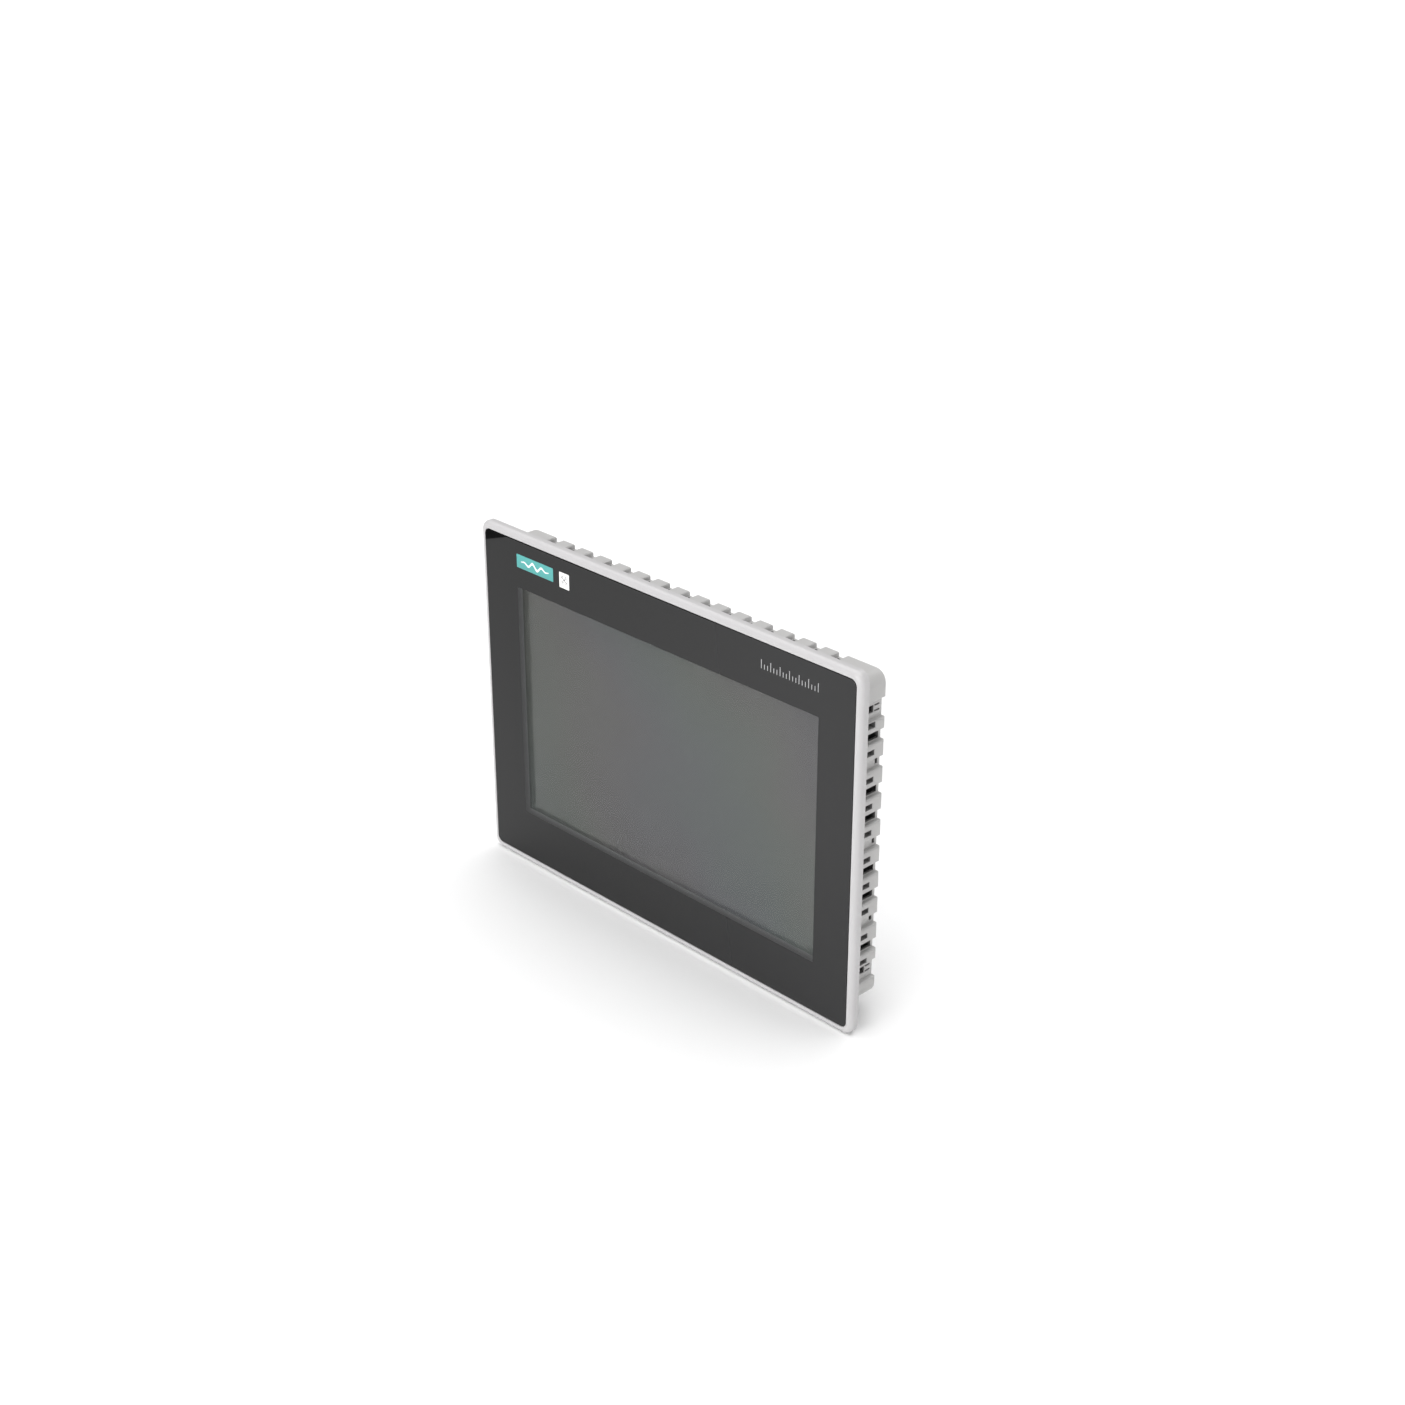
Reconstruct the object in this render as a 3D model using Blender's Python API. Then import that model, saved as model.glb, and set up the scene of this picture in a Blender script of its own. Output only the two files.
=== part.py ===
"""Flush-mounted touch operator panel, 10-inch class.

Row frame, in metres: X to the right as seen from the front, Y from the front to the back, Z up.
The origin is the centre of the panel cut-out, on the back face of the front frame's flange, so the
glass is at negative Y and the electronics are at positive Y.
"""
import math

import bmesh
import bpy
from mathutils import Vector

MM = 0.001
GAP = 0.3 * MM

# Front frame and glass
FRONT_WIDTH = 280.0 * MM
FRONT_HEIGHT = 204.0 * MM
FLANGE_THICKNESS = 5.7 * MM
FRONT_CORNER_RADIUS = 6.0 * MM
FRONT_EDGE_RADIUS = 2.6 * MM
SIDE_LIP = 3.65 * MM
TOP_LIP = 4.2 * MM
GLASS_CORNER_RADIUS = 3.5 * MM
GLASS_THICKNESS = 1.8 * MM
ADHESIVE_THICKNESS = 0.6 * MM
ADHESIVE_MARGIN = 1.0 * MM
SENSOR_MARGIN = 1.0 * MM

# Printed border of the glass, from its edge to the display window
BORDER_LEFT = 26.0 * MM
BORDER_RIGHT = 23.4 * MM
BORDER_TOP = 27.3 * MM
BORDER_BOTTOM = 29.1 * MM

# Display stack, front to back
WINDOW_MARGIN = 8.0 * MM
STACK_MARGIN = 5.6 * MM
SENSOR_THICKNESS = 0.5 * MM
SEAL_THICKNESS = 0.5 * MM
SEAL_WIDTH = 0.9 * MM
LCD_THICKNESS = 1.4 * MM
GUIDE_THICKNESS = 2.2 * MM
LED_WIDTH = 3.2 * MM
TRAY_WALL = 0.8 * MM
BRACKET_THICKNESS = 1.2 * MM
BRACKET_FLANGE = 5.0 * MM
BRACKET_OVERLAP = 3.0 * MM
BRACKET_REACH = 8.4 * MM
BRACKET_END = 24.6 * MM
BOSS_INSET = 39.6 * MM
BOSS_OFFSET = 4.0 * MM
BOSS_RADIUS = 3.5 * MM

# Mounting gasket and its groove in the flange's back
GROOVE_EDGE = 3.25 * MM
GROOVE_WIDTH = 4.0 * MM
GROOVE_DEPTH = 1.3 * MM
GASKET_HEIGHT = 2.0 * MM

# Rear housing
SIDE_OVERHANG = 9.1 * MM
TOP_OVERHANG = 10.0 * MM
HOUSING_DEPTH = 23.0 * MM
HOUSING_CORNER_RADIUS = 6.5 * MM
HOUSING_EDGE_RADIUS = 1.4 * MM
SIDE_WALL = 1.6 * MM
REAR_WALL = 1.2 * MM
POST_RADIUS = 4.6 * MM
POST_INSET = 8.6 * MM

# Castellated vent rows
VENT_PITCH = 14.95 * MM
ROW_SHIFT_X = -2.1 * MM
ROW_SHIFT_Z = -1.8 * MM
END_BLOCK = 20.0 * MM
NOTCH_WIDTH = 6.0 * MM
NOTCH_DEPTH = 2.9 * MM
NOTCH_START = 6.0 * MM
NOTCH_CHAMFER = 0.8 * MM
SLOT_WIDTH = 5.0 * MM
SLOT_START = 9.0 * MM
SLOT_MARGIN = 0.5 * MM
SMALL_VENT_WIDTH = 3.0 * MM
SMALL_VENT_START = 10.0 * MM
SMALL_VENT_MARGIN = 6.3 * MM
LATCH_HOLE_WIDTH = 3.2 * MM
LATCH_HOLE_LENGTH = 1.8 * MM
LATCH_EVERY = 3
REAR_VENT_LENGTH = 4.0 * MM
REAR_VENT_INSET = 15.6 * MM

# Clamp recesses in the two sides
CLAMP_INSET = 17.5 * MM
CLAMP_WIDTH = 10.5 * MM
CLAMP_HOLE_WIDTH = 3.8 * MM
CLAMP_HOLE_START = 9.0 * MM
CLAMP_HOLE_LENGTH = 8.0 * MM
CLAMP_GROOVE_WIDTH = 0.8 * MM
CLAMP_GROOVE_DEPTH = 0.8 * MM
CLAMP_GROOVE_GAP = 0.7 * MM

# Back cover
COVER_SIDE_MARGIN = 20.9 * MM
COVER_TOP_MARGIN = 16.0 * MM
COVER_LIP_WIDTH = 8.0 * MM
COVER_LIP_THICKNESS = 1.8 * MM
COVER_WALL = 2.0 * MM
COVER_CORNER_RADIUS = 5.0 * MM
COVER_EDGE_RADIUS = 1.5 * MM
GRILLE_SLOT_WIDTH = 2.4 * MM
GRILLE_PITCH = 6.0 * MM
GRILLE_LENGTH = 30.0 * MM
GRILLE_MARGIN = 14.0 * MM
GRILLE_COUNT = 13
SIDE_GRILLE_PITCH = 8.0 * MM
SIDE_GRILLE_LENGTH = 8.0 * MM
TYPE_PLATE_SIZE = (74.0 * MM, 46.0 * MM)
TYPE_PLATE_MARGIN = (12.0 * MM, 26.0 * MM)
LABEL_THICKNESS = 0.4 * MM

# Main board and the pieces on it
BOARD_THICKNESS = 1.6 * MM
BOARD_MARGIN = 5.0 * MM
STANDOFF_HEIGHT = 1.3 * MM
STANDOFF_RADIUS = 3.0 * MM
STANDOFF_INSET = 6.0 * MM
LOWER_STANDOFF_RISE = 18.0 * MM
PROCESSOR_SIZE = (27.0 * MM, 2.2 * MM)
PROCESSOR_PLACE = (-0.2, 0.18)
SINK_SIZE = 52.0 * MM
SINK_BASE = 2.0 * MM
SINK_FIN = 1.6 * MM
SINK_FIN_COUNT = 9
MEMORY_SIZE = (11.0 * MM, 1.2 * MM, 14.0 * MM)
HOLDER_SIZE = 24.0 * MM
HOLDER_HEIGHT = 5.0 * MM
HOLDER_INSET = 2.0 * MM
CELL_RADIUS = 10.0 * MM
CELL_THICKNESS = 3.2 * MM

# Power board in the rear housing
POWER_BOARD_SIZE = (70.0 * MM, 50.0 * MM)
POWER_BOARD_INSET = (34.0 * MM, 30.0 * MM)
POWER_BOARD_GAP = 1.8 * MM
INDUCTOR_SIZE = 13.0 * MM
INDUCTOR_SHARE = 0.5
CAPACITOR_RADIUS = 5.0 * MM
CAPACITOR_SHARE = 0.79
CAPACITOR_SPREAD = 1.4

# Ribbon cables: place across the board as a share of its width, and the cable's width
RIBBON_THICKNESS = 0.3 * MM
DISPLAY_RIBBON = (-0.21, 26.0 * MM)
TOUCH_RIBBON = (0.315, 12.0 * MM)
RIBBON_CLEARANCE = 2.0 * MM
RIBBON_RISE = 39.6 * MM
RIBBON_BEND = 3.0 * MM
RIBBON_BEND_STEPS = 4

# Ports in a row along the lower edge: width, height and depth of each body
PORT_PROUD = 0.8 * MM
PORT_CLEARANCE = 0.3 * MM
POWER_SOCKET = (18.0 * MM, 11.0 * MM, 14.0 * MM)
POWER_OPENING = (15.6 * MM, 8.4 * MM, 9.0 * MM)
POWER_PIN = (1.2 * MM, 5.08 * MM, 7.0 * MM)
ETHERNET_PORT = (16.0 * MM, 13.2 * MM, 21.0 * MM)
ETHERNET_OPENING = (11.8 * MM, 8.6 * MM, 14.0 * MM)
ETHERNET_KEY = (6.0 * MM, 1.8 * MM)
USB_PORT = (13.2 * MM, 5.7 * MM, 14.0 * MM)
USB_OPENING = (12.2 * MM, 4.7 * MM, 11.0 * MM)
USB_TONGUE = (10.4 * MM, 1.8 * MM, 9.5 * MM)
SERIAL_PORT = (31.0 * MM, 12.4 * MM, 11.0 * MM)
SERIAL_SHELL = (17.0 * MM, 8.4 * MM, 5.6 * MM)
SERIAL_SHELL_WALL = 0.9 * MM
SERIAL_SHELL_TAPER = 1.4 * MM
SERIAL_NUT = (2.75 * MM, 12.5 * MM, 5.0 * MM)
RESET_BAY = 8.0 * MM
PORT_ROW_MARGIN = 4.0 * MM

# Reset button
BUTTON_RADIUS = 1.6 * MM
BUTTON_COLLAR_RADIUS = 2.7 * MM
BUTTON_COLLAR_HEIGHT = 0.8 * MM
BUTTON_TAIL_RADIUS = 1.2 * MM
BUTTON_RECESS = 0.6 * MM
BUTTON_TRAVEL = 0.8 * MM
BUTTON_HEIGHT = 4.5 * MM
SWITCH_SIZE = (6.0 * MM, 7.0 * MM, 5.0 * MM)

# Memory card, its reader and the hinged door
CARD_SIZE = (32.0 * MM, 2.1 * MM, 24.0 * MM)
CARD_CENTRE_Z = 10.0 * MM
CARD_PROUD = 5.7 * MM
CARD_EJECT_TRAVEL = 3.0 * MM
CARD_WALL_GAP = 0.3 * MM
READER_WALL = 0.65 * MM
DOOR_LENGTH = 34.0 * MM
DOOR_REACH = 9.4 * MM
DOOR_THICKNESS = 1.6 * MM
DOOR_OVERLAP = 2.5 * MM
DOOR_LIP = 1.0 * MM
HINGE_RADIUS = 1.6 * MM
PIN_RADIUS = 0.7 * MM
EAR_LENGTH = 2.6 * MM
HINGE_RISE = 2.1 * MM
HINGE_STAND_OFF = 1.9 * MM

# Screws: head radius, head height, shank radius, recess arm
SMALL_SCREW = (2.5 * MM, 1.7 * MM, 1.0 * MM, 1.3 * MM)
MEDIUM_SCREW = (2.8 * MM, 2.0 * MM, 1.25 * MM, 1.5 * MM)
LARGE_SCREW = (3.2 * MM, 2.4 * MM, 1.5 * MM, 1.8 * MM)
EARTH_SCREW = (4.0 * MM, 3.0 * MM, 2.0 * MM, 2.3 * MM)
SCREW_SHOULDER = 0.6
SCREW_CROWN = 0.72
SCREW_RECESS_SHARE = 0.55
SCREW_RECESS_WIDTH = 0.8 * MM
HOLE_CLEARANCE = 0.35 * MM
HOUSING_SCREW_BITE = 1.2 * MM
COUNTERBORE_DEPTH = 3.2 * MM
COVER_SCREW_LENGTH = 9.0 * MM
BOARD_SCREW_LENGTH = 6.5 * MM
EARTH_SCREW_LENGTH = 9.0 * MM
EARTH_INSET = (33.9 * MM, 10.4 * MM)
WASHER_RADIUS = 4.6 * MM
WASHER_THICKNESS = 0.8 * MM

# Printed marks on the glass: from the window's nearer side, from the glass's top, width, height
BADGE = (15.05 * MM, 11.5 * MM, 29.8 * MM, 7.8 * MM)
CODE_LABEL = (38.85 * MM, 12.1 * MM, 7.8 * MM, 8.9 * MM)
SERIES_MARK = (19.65 * MM, 11.7 * MM, 38.6 * MM, 4.9 * MM)
MARK_THICKNESS = 0.3 * MM

LEAST_CORNER = 2.0 * MM
CORNER_STEPS = 5
CELL_STEPS = 24
PIN_STEPS = 12
ROUND_STEPS = 16
EDGE_STEPS = 3

# Stations along Y
FRONT_FACE = -FLANGE_THICKNESS
GLASS_BACK = FRONT_FACE + GLASS_THICKNESS
POCKET_FLOOR = GLASS_BACK + ADHESIVE_THICKNESS + 2 * GAP
SENSOR_BACK = GLASS_BACK + GAP + SENSOR_THICKNESS
SEAL_BACK = SENSOR_BACK + GAP + SEAL_THICKNESS
LCD_FRONT = SEAL_BACK + GAP
LCD_BACK = LCD_FRONT + LCD_THICKNESS
GUIDE_FRONT = LCD_BACK + GAP
GUIDE_BACK = GUIDE_FRONT + GUIDE_THICKNESS
TRAY_FLOOR = GUIDE_BACK + GAP
TRAY_BACK = TRAY_FLOOR + TRAY_WALL
BRACKET_FRONT = TRAY_BACK + GAP
BRACKET_BACK = BRACKET_FRONT + BRACKET_THICKNESS
CAVITY_BACK = HOUSING_DEPTH - REAR_WALL
COVER_FRONT = HOUSING_DEPTH + GAP
LIP_BACK = COVER_FRONT + COVER_LIP_THICKNESS
STANDOFF_TOP = HOUSING_DEPTH + STANDOFF_HEIGHT
BOARD_FRONT = STANDOFF_TOP + GAP
SEAT = BOARD_FRONT + BOARD_THICKNESS + GAP
COVER_INSIDE = SEAT + ETHERNET_PORT[1] + GAP
COVER_BACK = COVER_INSIDE + COVER_WALL

# Half sizes and edges across the front
GLASS_WIDTH = FRONT_WIDTH - 2 * SIDE_LIP
GLASS_HEIGHT = FRONT_HEIGHT - 2 * TOP_LIP
WINDOW_WIDTH = GLASS_WIDTH - BORDER_LEFT - BORDER_RIGHT
WINDOW_HEIGHT = GLASS_HEIGHT - BORDER_TOP - BORDER_BOTTOM
WINDOW_CENTRE = ((BORDER_LEFT - BORDER_RIGHT) / 2, (BORDER_BOTTOM - BORDER_TOP) / 2)
OPENING_WIDTH = WINDOW_WIDTH + 2 * WINDOW_MARGIN
OPENING_HEIGHT = WINDOW_HEIGHT + 2 * WINDOW_MARGIN
LCD_WIDTH = WINDOW_WIDTH + 2 * STACK_MARGIN
LCD_HEIGHT = WINDOW_HEIGHT + 2 * STACK_MARGIN
TRAY_WIDTH = LCD_WIDTH + 2 * (GAP + TRAY_WALL)
TRAY_HEIGHT = LCD_HEIGHT + 2 * (GAP + TRAY_WALL)
HOUSING_WIDTH = FRONT_WIDTH - 2 * SIDE_OVERHANG
HOUSING_HEIGHT = FRONT_HEIGHT - 2 * TOP_OVERHANG
CAVITY_WIDTH = HOUSING_WIDTH - 2 * (NOTCH_DEPTH + SIDE_WALL)
CAVITY_HEIGHT = HOUSING_HEIGHT - 2 * (NOTCH_DEPTH + SIDE_WALL)
LIP_WIDTH = HOUSING_WIDTH - 2 * COVER_SIDE_MARGIN
LIP_HEIGHT = HOUSING_HEIGHT - 2 * COVER_TOP_MARGIN
COVER_WIDTH = LIP_WIDTH - 2 * COVER_LIP_WIDTH
COVER_HEIGHT = LIP_HEIGHT - 2 * COVER_LIP_WIDTH
COVER_RIGHT = COVER_WIDTH / 2
COVER_BOTTOM = -COVER_HEIGHT / 2
BOARD_WIDTH = COVER_WIDTH - 2 * (COVER_WALL + BOARD_MARGIN)
BOARD_HEIGHT = COVER_HEIGHT - 2 * (COVER_WALL + BOARD_MARGIN)
PORT_MOUTH = COVER_BOTTOM - PORT_PROUD
CORNERS = ((-1, -1), (1, -1), (-1, 1), (1, 1))

FINISHES = {
    "frame_grey": ((0.62, 0.61, 0.62), 0.45, 0.0),
    "housing_grey": ((0.60, 0.60, 0.60), 0.5, 0.0),
    "cover_grey": ((0.57, 0.57, 0.58), 0.55, 0.0),
    "black_glass": ((0.03, 0.03, 0.032), 0.08, 0.0),
    "display_grey": ((0.16, 0.17, 0.17), 0.2, 0.0),
    "black_rubber": ((0.02, 0.02, 0.02), 0.8, 0.0),
    "white_plastic": ((0.8, 0.8, 0.8), 0.5, 0.0),
    "black_plastic": ((0.03, 0.03, 0.03), 0.5, 0.0),
    "steel": ((0.6, 0.6, 0.62), 0.35, 1.0),
    "zinc": ((0.7, 0.71, 0.72), 0.3, 1.0),
    "aluminium": ((0.75, 0.76, 0.77), 0.4, 1.0),
    "board_green": ((0.02, 0.16, 0.08), 0.5, 0.0),
    "chip_black": ((0.02, 0.02, 0.022), 0.45, 0.0),
    "ribbon_amber": ((0.55, 0.25, 0.05), 0.4, 0.0),
    "teal": ((0.08, 0.36, 0.34), 0.4, 0.0),
    "mark_grey": ((0.55, 0.55, 0.56), 0.5, 0.0),
    "terminal_green": ((0.05, 0.32, 0.13), 0.5, 0.0),
    "clear_film": ((0.5, 0.52, 0.54), 0.2, 0.0),
}


def clear_scene():
    for thing in list(bpy.data.objects):
        bpy.data.objects.remove(thing, do_unlink=True)


def finish(name):
    """The named finish as a Principled material, made once."""
    if name in bpy.data.materials:
        return bpy.data.materials[name]
    colour, roughness, metallic = FINISHES[name]
    made = bpy.data.materials.new(name)
    made.use_nodes = True
    shader = made.node_tree.nodes["Principled BSDF"]
    shader.inputs["Base Color"].default_value = (*colour, 1.0)
    shader.inputs["Roughness"].default_value = roughness
    shader.inputs["Metallic"].default_value = metallic
    return made


def rounded(width, height, radius, centre=(0.0, 0.0)):
    """Points of a rectangle with rounded corners, all the way round."""
    points = []
    for quarter, (side, top) in enumerate(((1, 1), (-1, 1), (-1, -1), (1, -1))):
        middle = (centre[0] + side * (width / 2 - radius), centre[1] + top * (height / 2 - radius))
        for step in range(CORNER_STEPS + 1):
            angle = math.pi / 2 * (quarter + step / CORNER_STEPS)
            points.append((middle[0] + radius * math.cos(angle), middle[1] + radius * math.sin(angle)))
    return points


def rectangle(across, up):
    """Points of the rectangle between two pairs of limits."""
    return [(across[0], up[0]), (across[1], up[0]), (across[1], up[1]), (across[0], up[1])]


def about(centre, size):
    """The two limits of a size centred on a value."""
    return (centre - size / 2, centre + size / 2)


def circle(centre, radius, steps=ROUND_STEPS):
    turns = [2 * math.pi * step / steps for step in range(steps)]
    return [(centre[0] + radius * math.cos(a), centre[1] + radius * math.sin(a)) for a in turns]


def rounded_path(corners, radius, steps):
    """A run of straight stretches whose corners are arcs of one radius."""
    path = [Vector(corners[0])]
    for before, corner, after in zip(corners, corners[1:], corners[2:]):
        corner = Vector(corner)
        arriving = (corner - Vector(before)).normalized()
        leaving = (Vector(after) - corner).normalized()
        turn = arriving.angle(leaving)
        trim = radius * math.tan(turn / 2)
        start = corner - arriving * trim
        centre = start + radius * (leaving - arriving * arriving.dot(leaving)).normalized()
        for step in range(steps + 1):
            angle = turn * step / steps
            path.append(centre + (start - centre) * math.cos(angle) + arriving * radius * math.sin(angle))
    path.append(Vector(corners[-1]))
    return path


class Solid:
    """One or more closed bodies, built from outlines, and made into an object by place()."""

    def __init__(self):
        self.mesh = bmesh.new()

    def point(self, across, up, along, axis):
        """A point of an outline across an axis: (x, z) about Y, (y, z) about X, (x, y) about Z."""
        places = {"X": (along, across, up), "Y": (across, along, up), "Z": (across, up, along)}
        return self.mesh.verts.new(places[axis])

    def loft(self, sections, axis="Y", closed=False):
        """Skins outlines that have the same number of points; the ends are capped, or joined if closed."""
        rings = [[self.point(a, u, along, axis) for a, u in outline] for outline, along in sections]
        pairs = list(zip(rings, rings[1:]))
        if closed:
            pairs.append((rings[-1], rings[0]))
        else:
            self.mesh.faces.new(rings[0])
            self.mesh.faces.new(rings[-1])
        for low, high in pairs:
            for spot in range(len(low)):
                after = (spot + 1) % len(low)
                self.mesh.faces.new((low[spot], low[after], high[after], high[spot]))
        return self

    def prism(self, outline, span, axis="Y"):
        return self.loft([(outline, span[0]), (outline, span[1])], axis)

    def block(self, x, y, z):
        return self.prism(rectangle(x, z), y)

    def rod(self, centre, radius, span, axis="Y", steps=ROUND_STEPS):
        return self.prism(circle(centre, radius, steps), span, axis)

    def turned(self, centre, profile, axis="Y", steps=ROUND_STEPS):
        """A turned body: profile lists its radius and its place along the axis, end to end."""
        return self.loft([(circle(centre, radius, steps), along) for radius, along in profile], axis)

    def place(self, name, finish_name=None):
        bmesh.ops.recalc_face_normals(self.mesh, faces=self.mesh.faces)
        data = bpy.data.meshes.new(name)
        self.mesh.to_mesh(data)
        self.mesh.free()
        made = bpy.data.objects.new(name, data)
        bpy.context.scene.collection.objects.link(made)
        if finish_name:
            data.materials.append(finish(finish_name))
        return made


def combine(target, tool, operation):
    """Cuts a tool solid away from an object, or joins it on, with a Boolean modifier."""
    number = len(target.modifiers) + 1
    guide = tool.place(f"{target.name}_guide_{number}")
    guide.hide_render = True
    guide.display_type = "WIRE"
    step = target.modifiers.new(f"{operation.lower()}_{number}", "BOOLEAN")
    step.operation = operation
    step.object = guide
    step.solver = "EXACT"
    return target


def cut(target, tool):
    return combine(target, tool, "DIFFERENCE")


def join(target, tool):
    return combine(target, tool, "UNION")


def rounded_end(width, height, corner, edge, outer, inward):
    """Sections that round a slab's rim: from inward of its outer face out to a flat face at outer."""
    sections = []
    direction = 1 if outer > inward else -1
    for step in range(EDGE_STEPS + 1):
        angle = math.pi / 2 * step / EDGE_STEPS
        inset = edge * (1 - math.cos(angle))
        along = outer - direction * edge * (1 - math.sin(angle))
        outline = rounded(width - 2 * inset, height - 2 * inset, corner - inset)
        sections.append((outline, along))
    return sections


def screw(name, centre, seat, length, sizes, finish_name="zinc"):
    """A pan-head screw with a cross recess: head behind the seat, shank forward from it."""
    head, height, shank, arm = sizes
    crown = seat + height
    profile = [(shank, seat - length), (shank, seat), (head, seat), (head, seat + SCREW_SHOULDER * height)]
    profile.append((SCREW_CROWN * head, crown))
    made = Solid().turned(centre, profile).place(name, finish_name)
    half = SCREW_RECESS_WIDTH / 2
    cross = [(arm, -half), (arm, half), (half, half), (half, arm), (-half, arm), (-half, half)]
    cross += [(-across, -up) for across, up in cross]
    outline = [(centre[0] + across, centre[1] + up) for across, up in cross]
    return cut(made, Solid().prism(outline, (crown - SCREW_RECESS_SHARE * height, crown + GAP)))


def row_places(half_length, shift):
    """Notch centres along a side, and the centres of the pads between and beyond them."""
    count = int((half_length - END_BLOCK) / VENT_PITCH)
    notches = [(number, shift + number * VENT_PITCH) for number in range(-count, count + 1)]
    pads = [shift + (number - 0.5) * VENT_PITCH for number in range(-count, count + 2)]
    return notches, pads


def sides():
    """The four sides of the housing: their length axis, their sign and how far out they are."""
    half_width = HOUSING_WIDTH / 2
    half_height = HOUSING_HEIGHT / 2
    for sign in (-1, 1):
        yield "top", sign, half_height, half_width, ROW_SHIFT_X
        yield "side", sign, half_width, half_height, ROW_SHIFT_Z


def side_block(solid, kind, sign, along, depth_span, y):
    """A block set into one side, by its limits along the side and its limits outwards from the centre."""
    outward = sorted(sign * depth for depth in depth_span)
    if kind == "top":
        return solid.block(along, y, outward)
    return solid.block(outward, y, along)


def make_front_frame():
    outer = (FRONT_WIDTH, FRONT_HEIGHT, FRONT_CORNER_RADIUS)
    rim = rounded_end(*outer, FRONT_EDGE_RADIUS, FRONT_FACE, 0.0)
    pocket = rounded(GLASS_WIDTH + 2 * GAP, GLASS_HEIGHT + 2 * GAP, GLASS_CORNER_RADIUS + GAP)
    opening = rounded(OPENING_WIDTH, OPENING_HEIGHT, GLASS_CORNER_RADIUS, WINDOW_CENTRE)
    groove_outer, groove_inner = groove_outlines(0.0)
    sections = [(rounded(*outer), 0.0)] + rim
    sections += [(pocket, FRONT_FACE), (pocket, POCKET_FLOOR), (opening, POCKET_FLOOR), (opening, 0.0)]
    sections += [(groove_inner, 0.0), (groove_inner, -GROOVE_DEPTH)]
    sections += [(groove_outer, -GROOVE_DEPTH), (groove_outer, 0.0)]
    frame = Solid().loft(sections, closed=True).place("front_frame", "frame_grey")
    bosses = Solid()
    holes = Solid()
    for centre in boss_centres():
        bosses.rod(centre, BOSS_RADIUS, (-HOUSING_SCREW_BITE, TRAY_BACK))
        holes.rod(centre, MEDIUM_SCREW[2] + HOLE_CLEARANCE, (-HOUSING_SCREW_BITE / 2, TRAY_BACK + GAP))
    for centre in post_centres():
        holes.rod(centre, LARGE_SCREW[2] + HOLE_CLEARANCE, (-HOUSING_SCREW_BITE - GAP, GAP))
    join(frame, bosses)
    cut(frame, holes)


def groove_outlines(shrink):
    """Outer and inner outline of the gasket groove, or of the gasket when shrunk by a clearance."""
    outlines = []
    for edge in (GROOVE_EDGE + shrink, GROOVE_EDGE + GROOVE_WIDTH - shrink):
        radius = max(FRONT_CORNER_RADIUS - edge, LEAST_CORNER)
        outlines.append(rounded(FRONT_WIDTH - 2 * edge, FRONT_HEIGHT - 2 * edge, radius))
    return outlines


def boss_centres():
    half_width = OPENING_WIDTH / 2 - BOSS_INSET
    half_height = OPENING_HEIGHT / 2 + BOSS_OFFSET
    middle = WINDOW_CENTRE
    return [(middle[0] + side * half_width, middle[1] + top * half_height) for side, top in CORNERS]


def post_centres():
    half_width = HOUSING_WIDTH / 2 - POST_INSET
    half_height = HOUSING_HEIGHT / 2 - POST_INSET
    return [(side * half_width, top * half_height) for side, top in CORNERS]


def cover_screw_centres():
    half_width = (LIP_WIDTH - COVER_LIP_WIDTH) / 2
    half_height = (LIP_HEIGHT - COVER_LIP_WIDTH) / 2
    return [(side * half_width, top * half_height) for side, top in CORNERS]


def standoff_centres():
    half_width = BOARD_WIDTH / 2 - STANDOFF_INSET
    upper = BOARD_HEIGHT / 2 - STANDOFF_INSET
    lower = -BOARD_HEIGHT / 2 + LOWER_STANDOFF_RISE
    return [(side * half_width, upper if top > 0 else lower) for side, top in CORNERS]


def make_glass_and_seals():
    glass = rounded(GLASS_WIDTH, GLASS_HEIGHT, GLASS_CORNER_RADIUS)
    Solid().prism(glass, (FRONT_FACE, GLASS_BACK)).place("front_glass", "black_glass")
    tape = (GLASS_BACK + GAP, GLASS_BACK + GAP + ADHESIVE_THICKNESS)
    margin = 2 * ADHESIVE_MARGIN
    outer = rounded(GLASS_WIDTH - margin, GLASS_HEIGHT - margin, GLASS_CORNER_RADIUS)
    inner = rounded(OPENING_WIDTH + margin, OPENING_HEIGHT + margin, GLASS_CORNER_RADIUS, WINDOW_CENTRE)
    frame_of_tape = [(outer, tape[0]), (outer, tape[1]), (inner, tape[1]), (inner, tape[0])]
    Solid().loft(frame_of_tape, closed=True).place("glass_adhesive", "black_rubber")
    outer, inner = groove_outlines(GAP)
    gasket = (GAP - GROOVE_DEPTH, GAP - GROOVE_DEPTH + GASKET_HEIGHT)
    seal = [(outer, gasket[0]), (outer, gasket[1]), (inner, gasket[1]), (inner, gasket[0])]
    Solid().loft(seal, closed=True).place("panel_gasket", "black_rubber")


def make_marks():
    for name, place, side, finish_name in (
        ("badge_plate", BADGE, -1, "teal"),
        ("code_label", CODE_LABEL, -1, "white_plastic"),
        ("series_mark", SERIES_MARK, 1, "mark_grey"),
    ):
        inset, drop, width, height = place
        across = WINDOW_CENTRE[0] + side * (WINDOW_WIDTH / 2 - inset)
        up = GLASS_HEIGHT / 2 - drop
        span = (FRONT_FACE - GAP - MARK_THICKNESS, FRONT_FACE - GAP)
        Solid().block(about(across, width), span, about(up, height)).place(name, finish_name)


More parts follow.
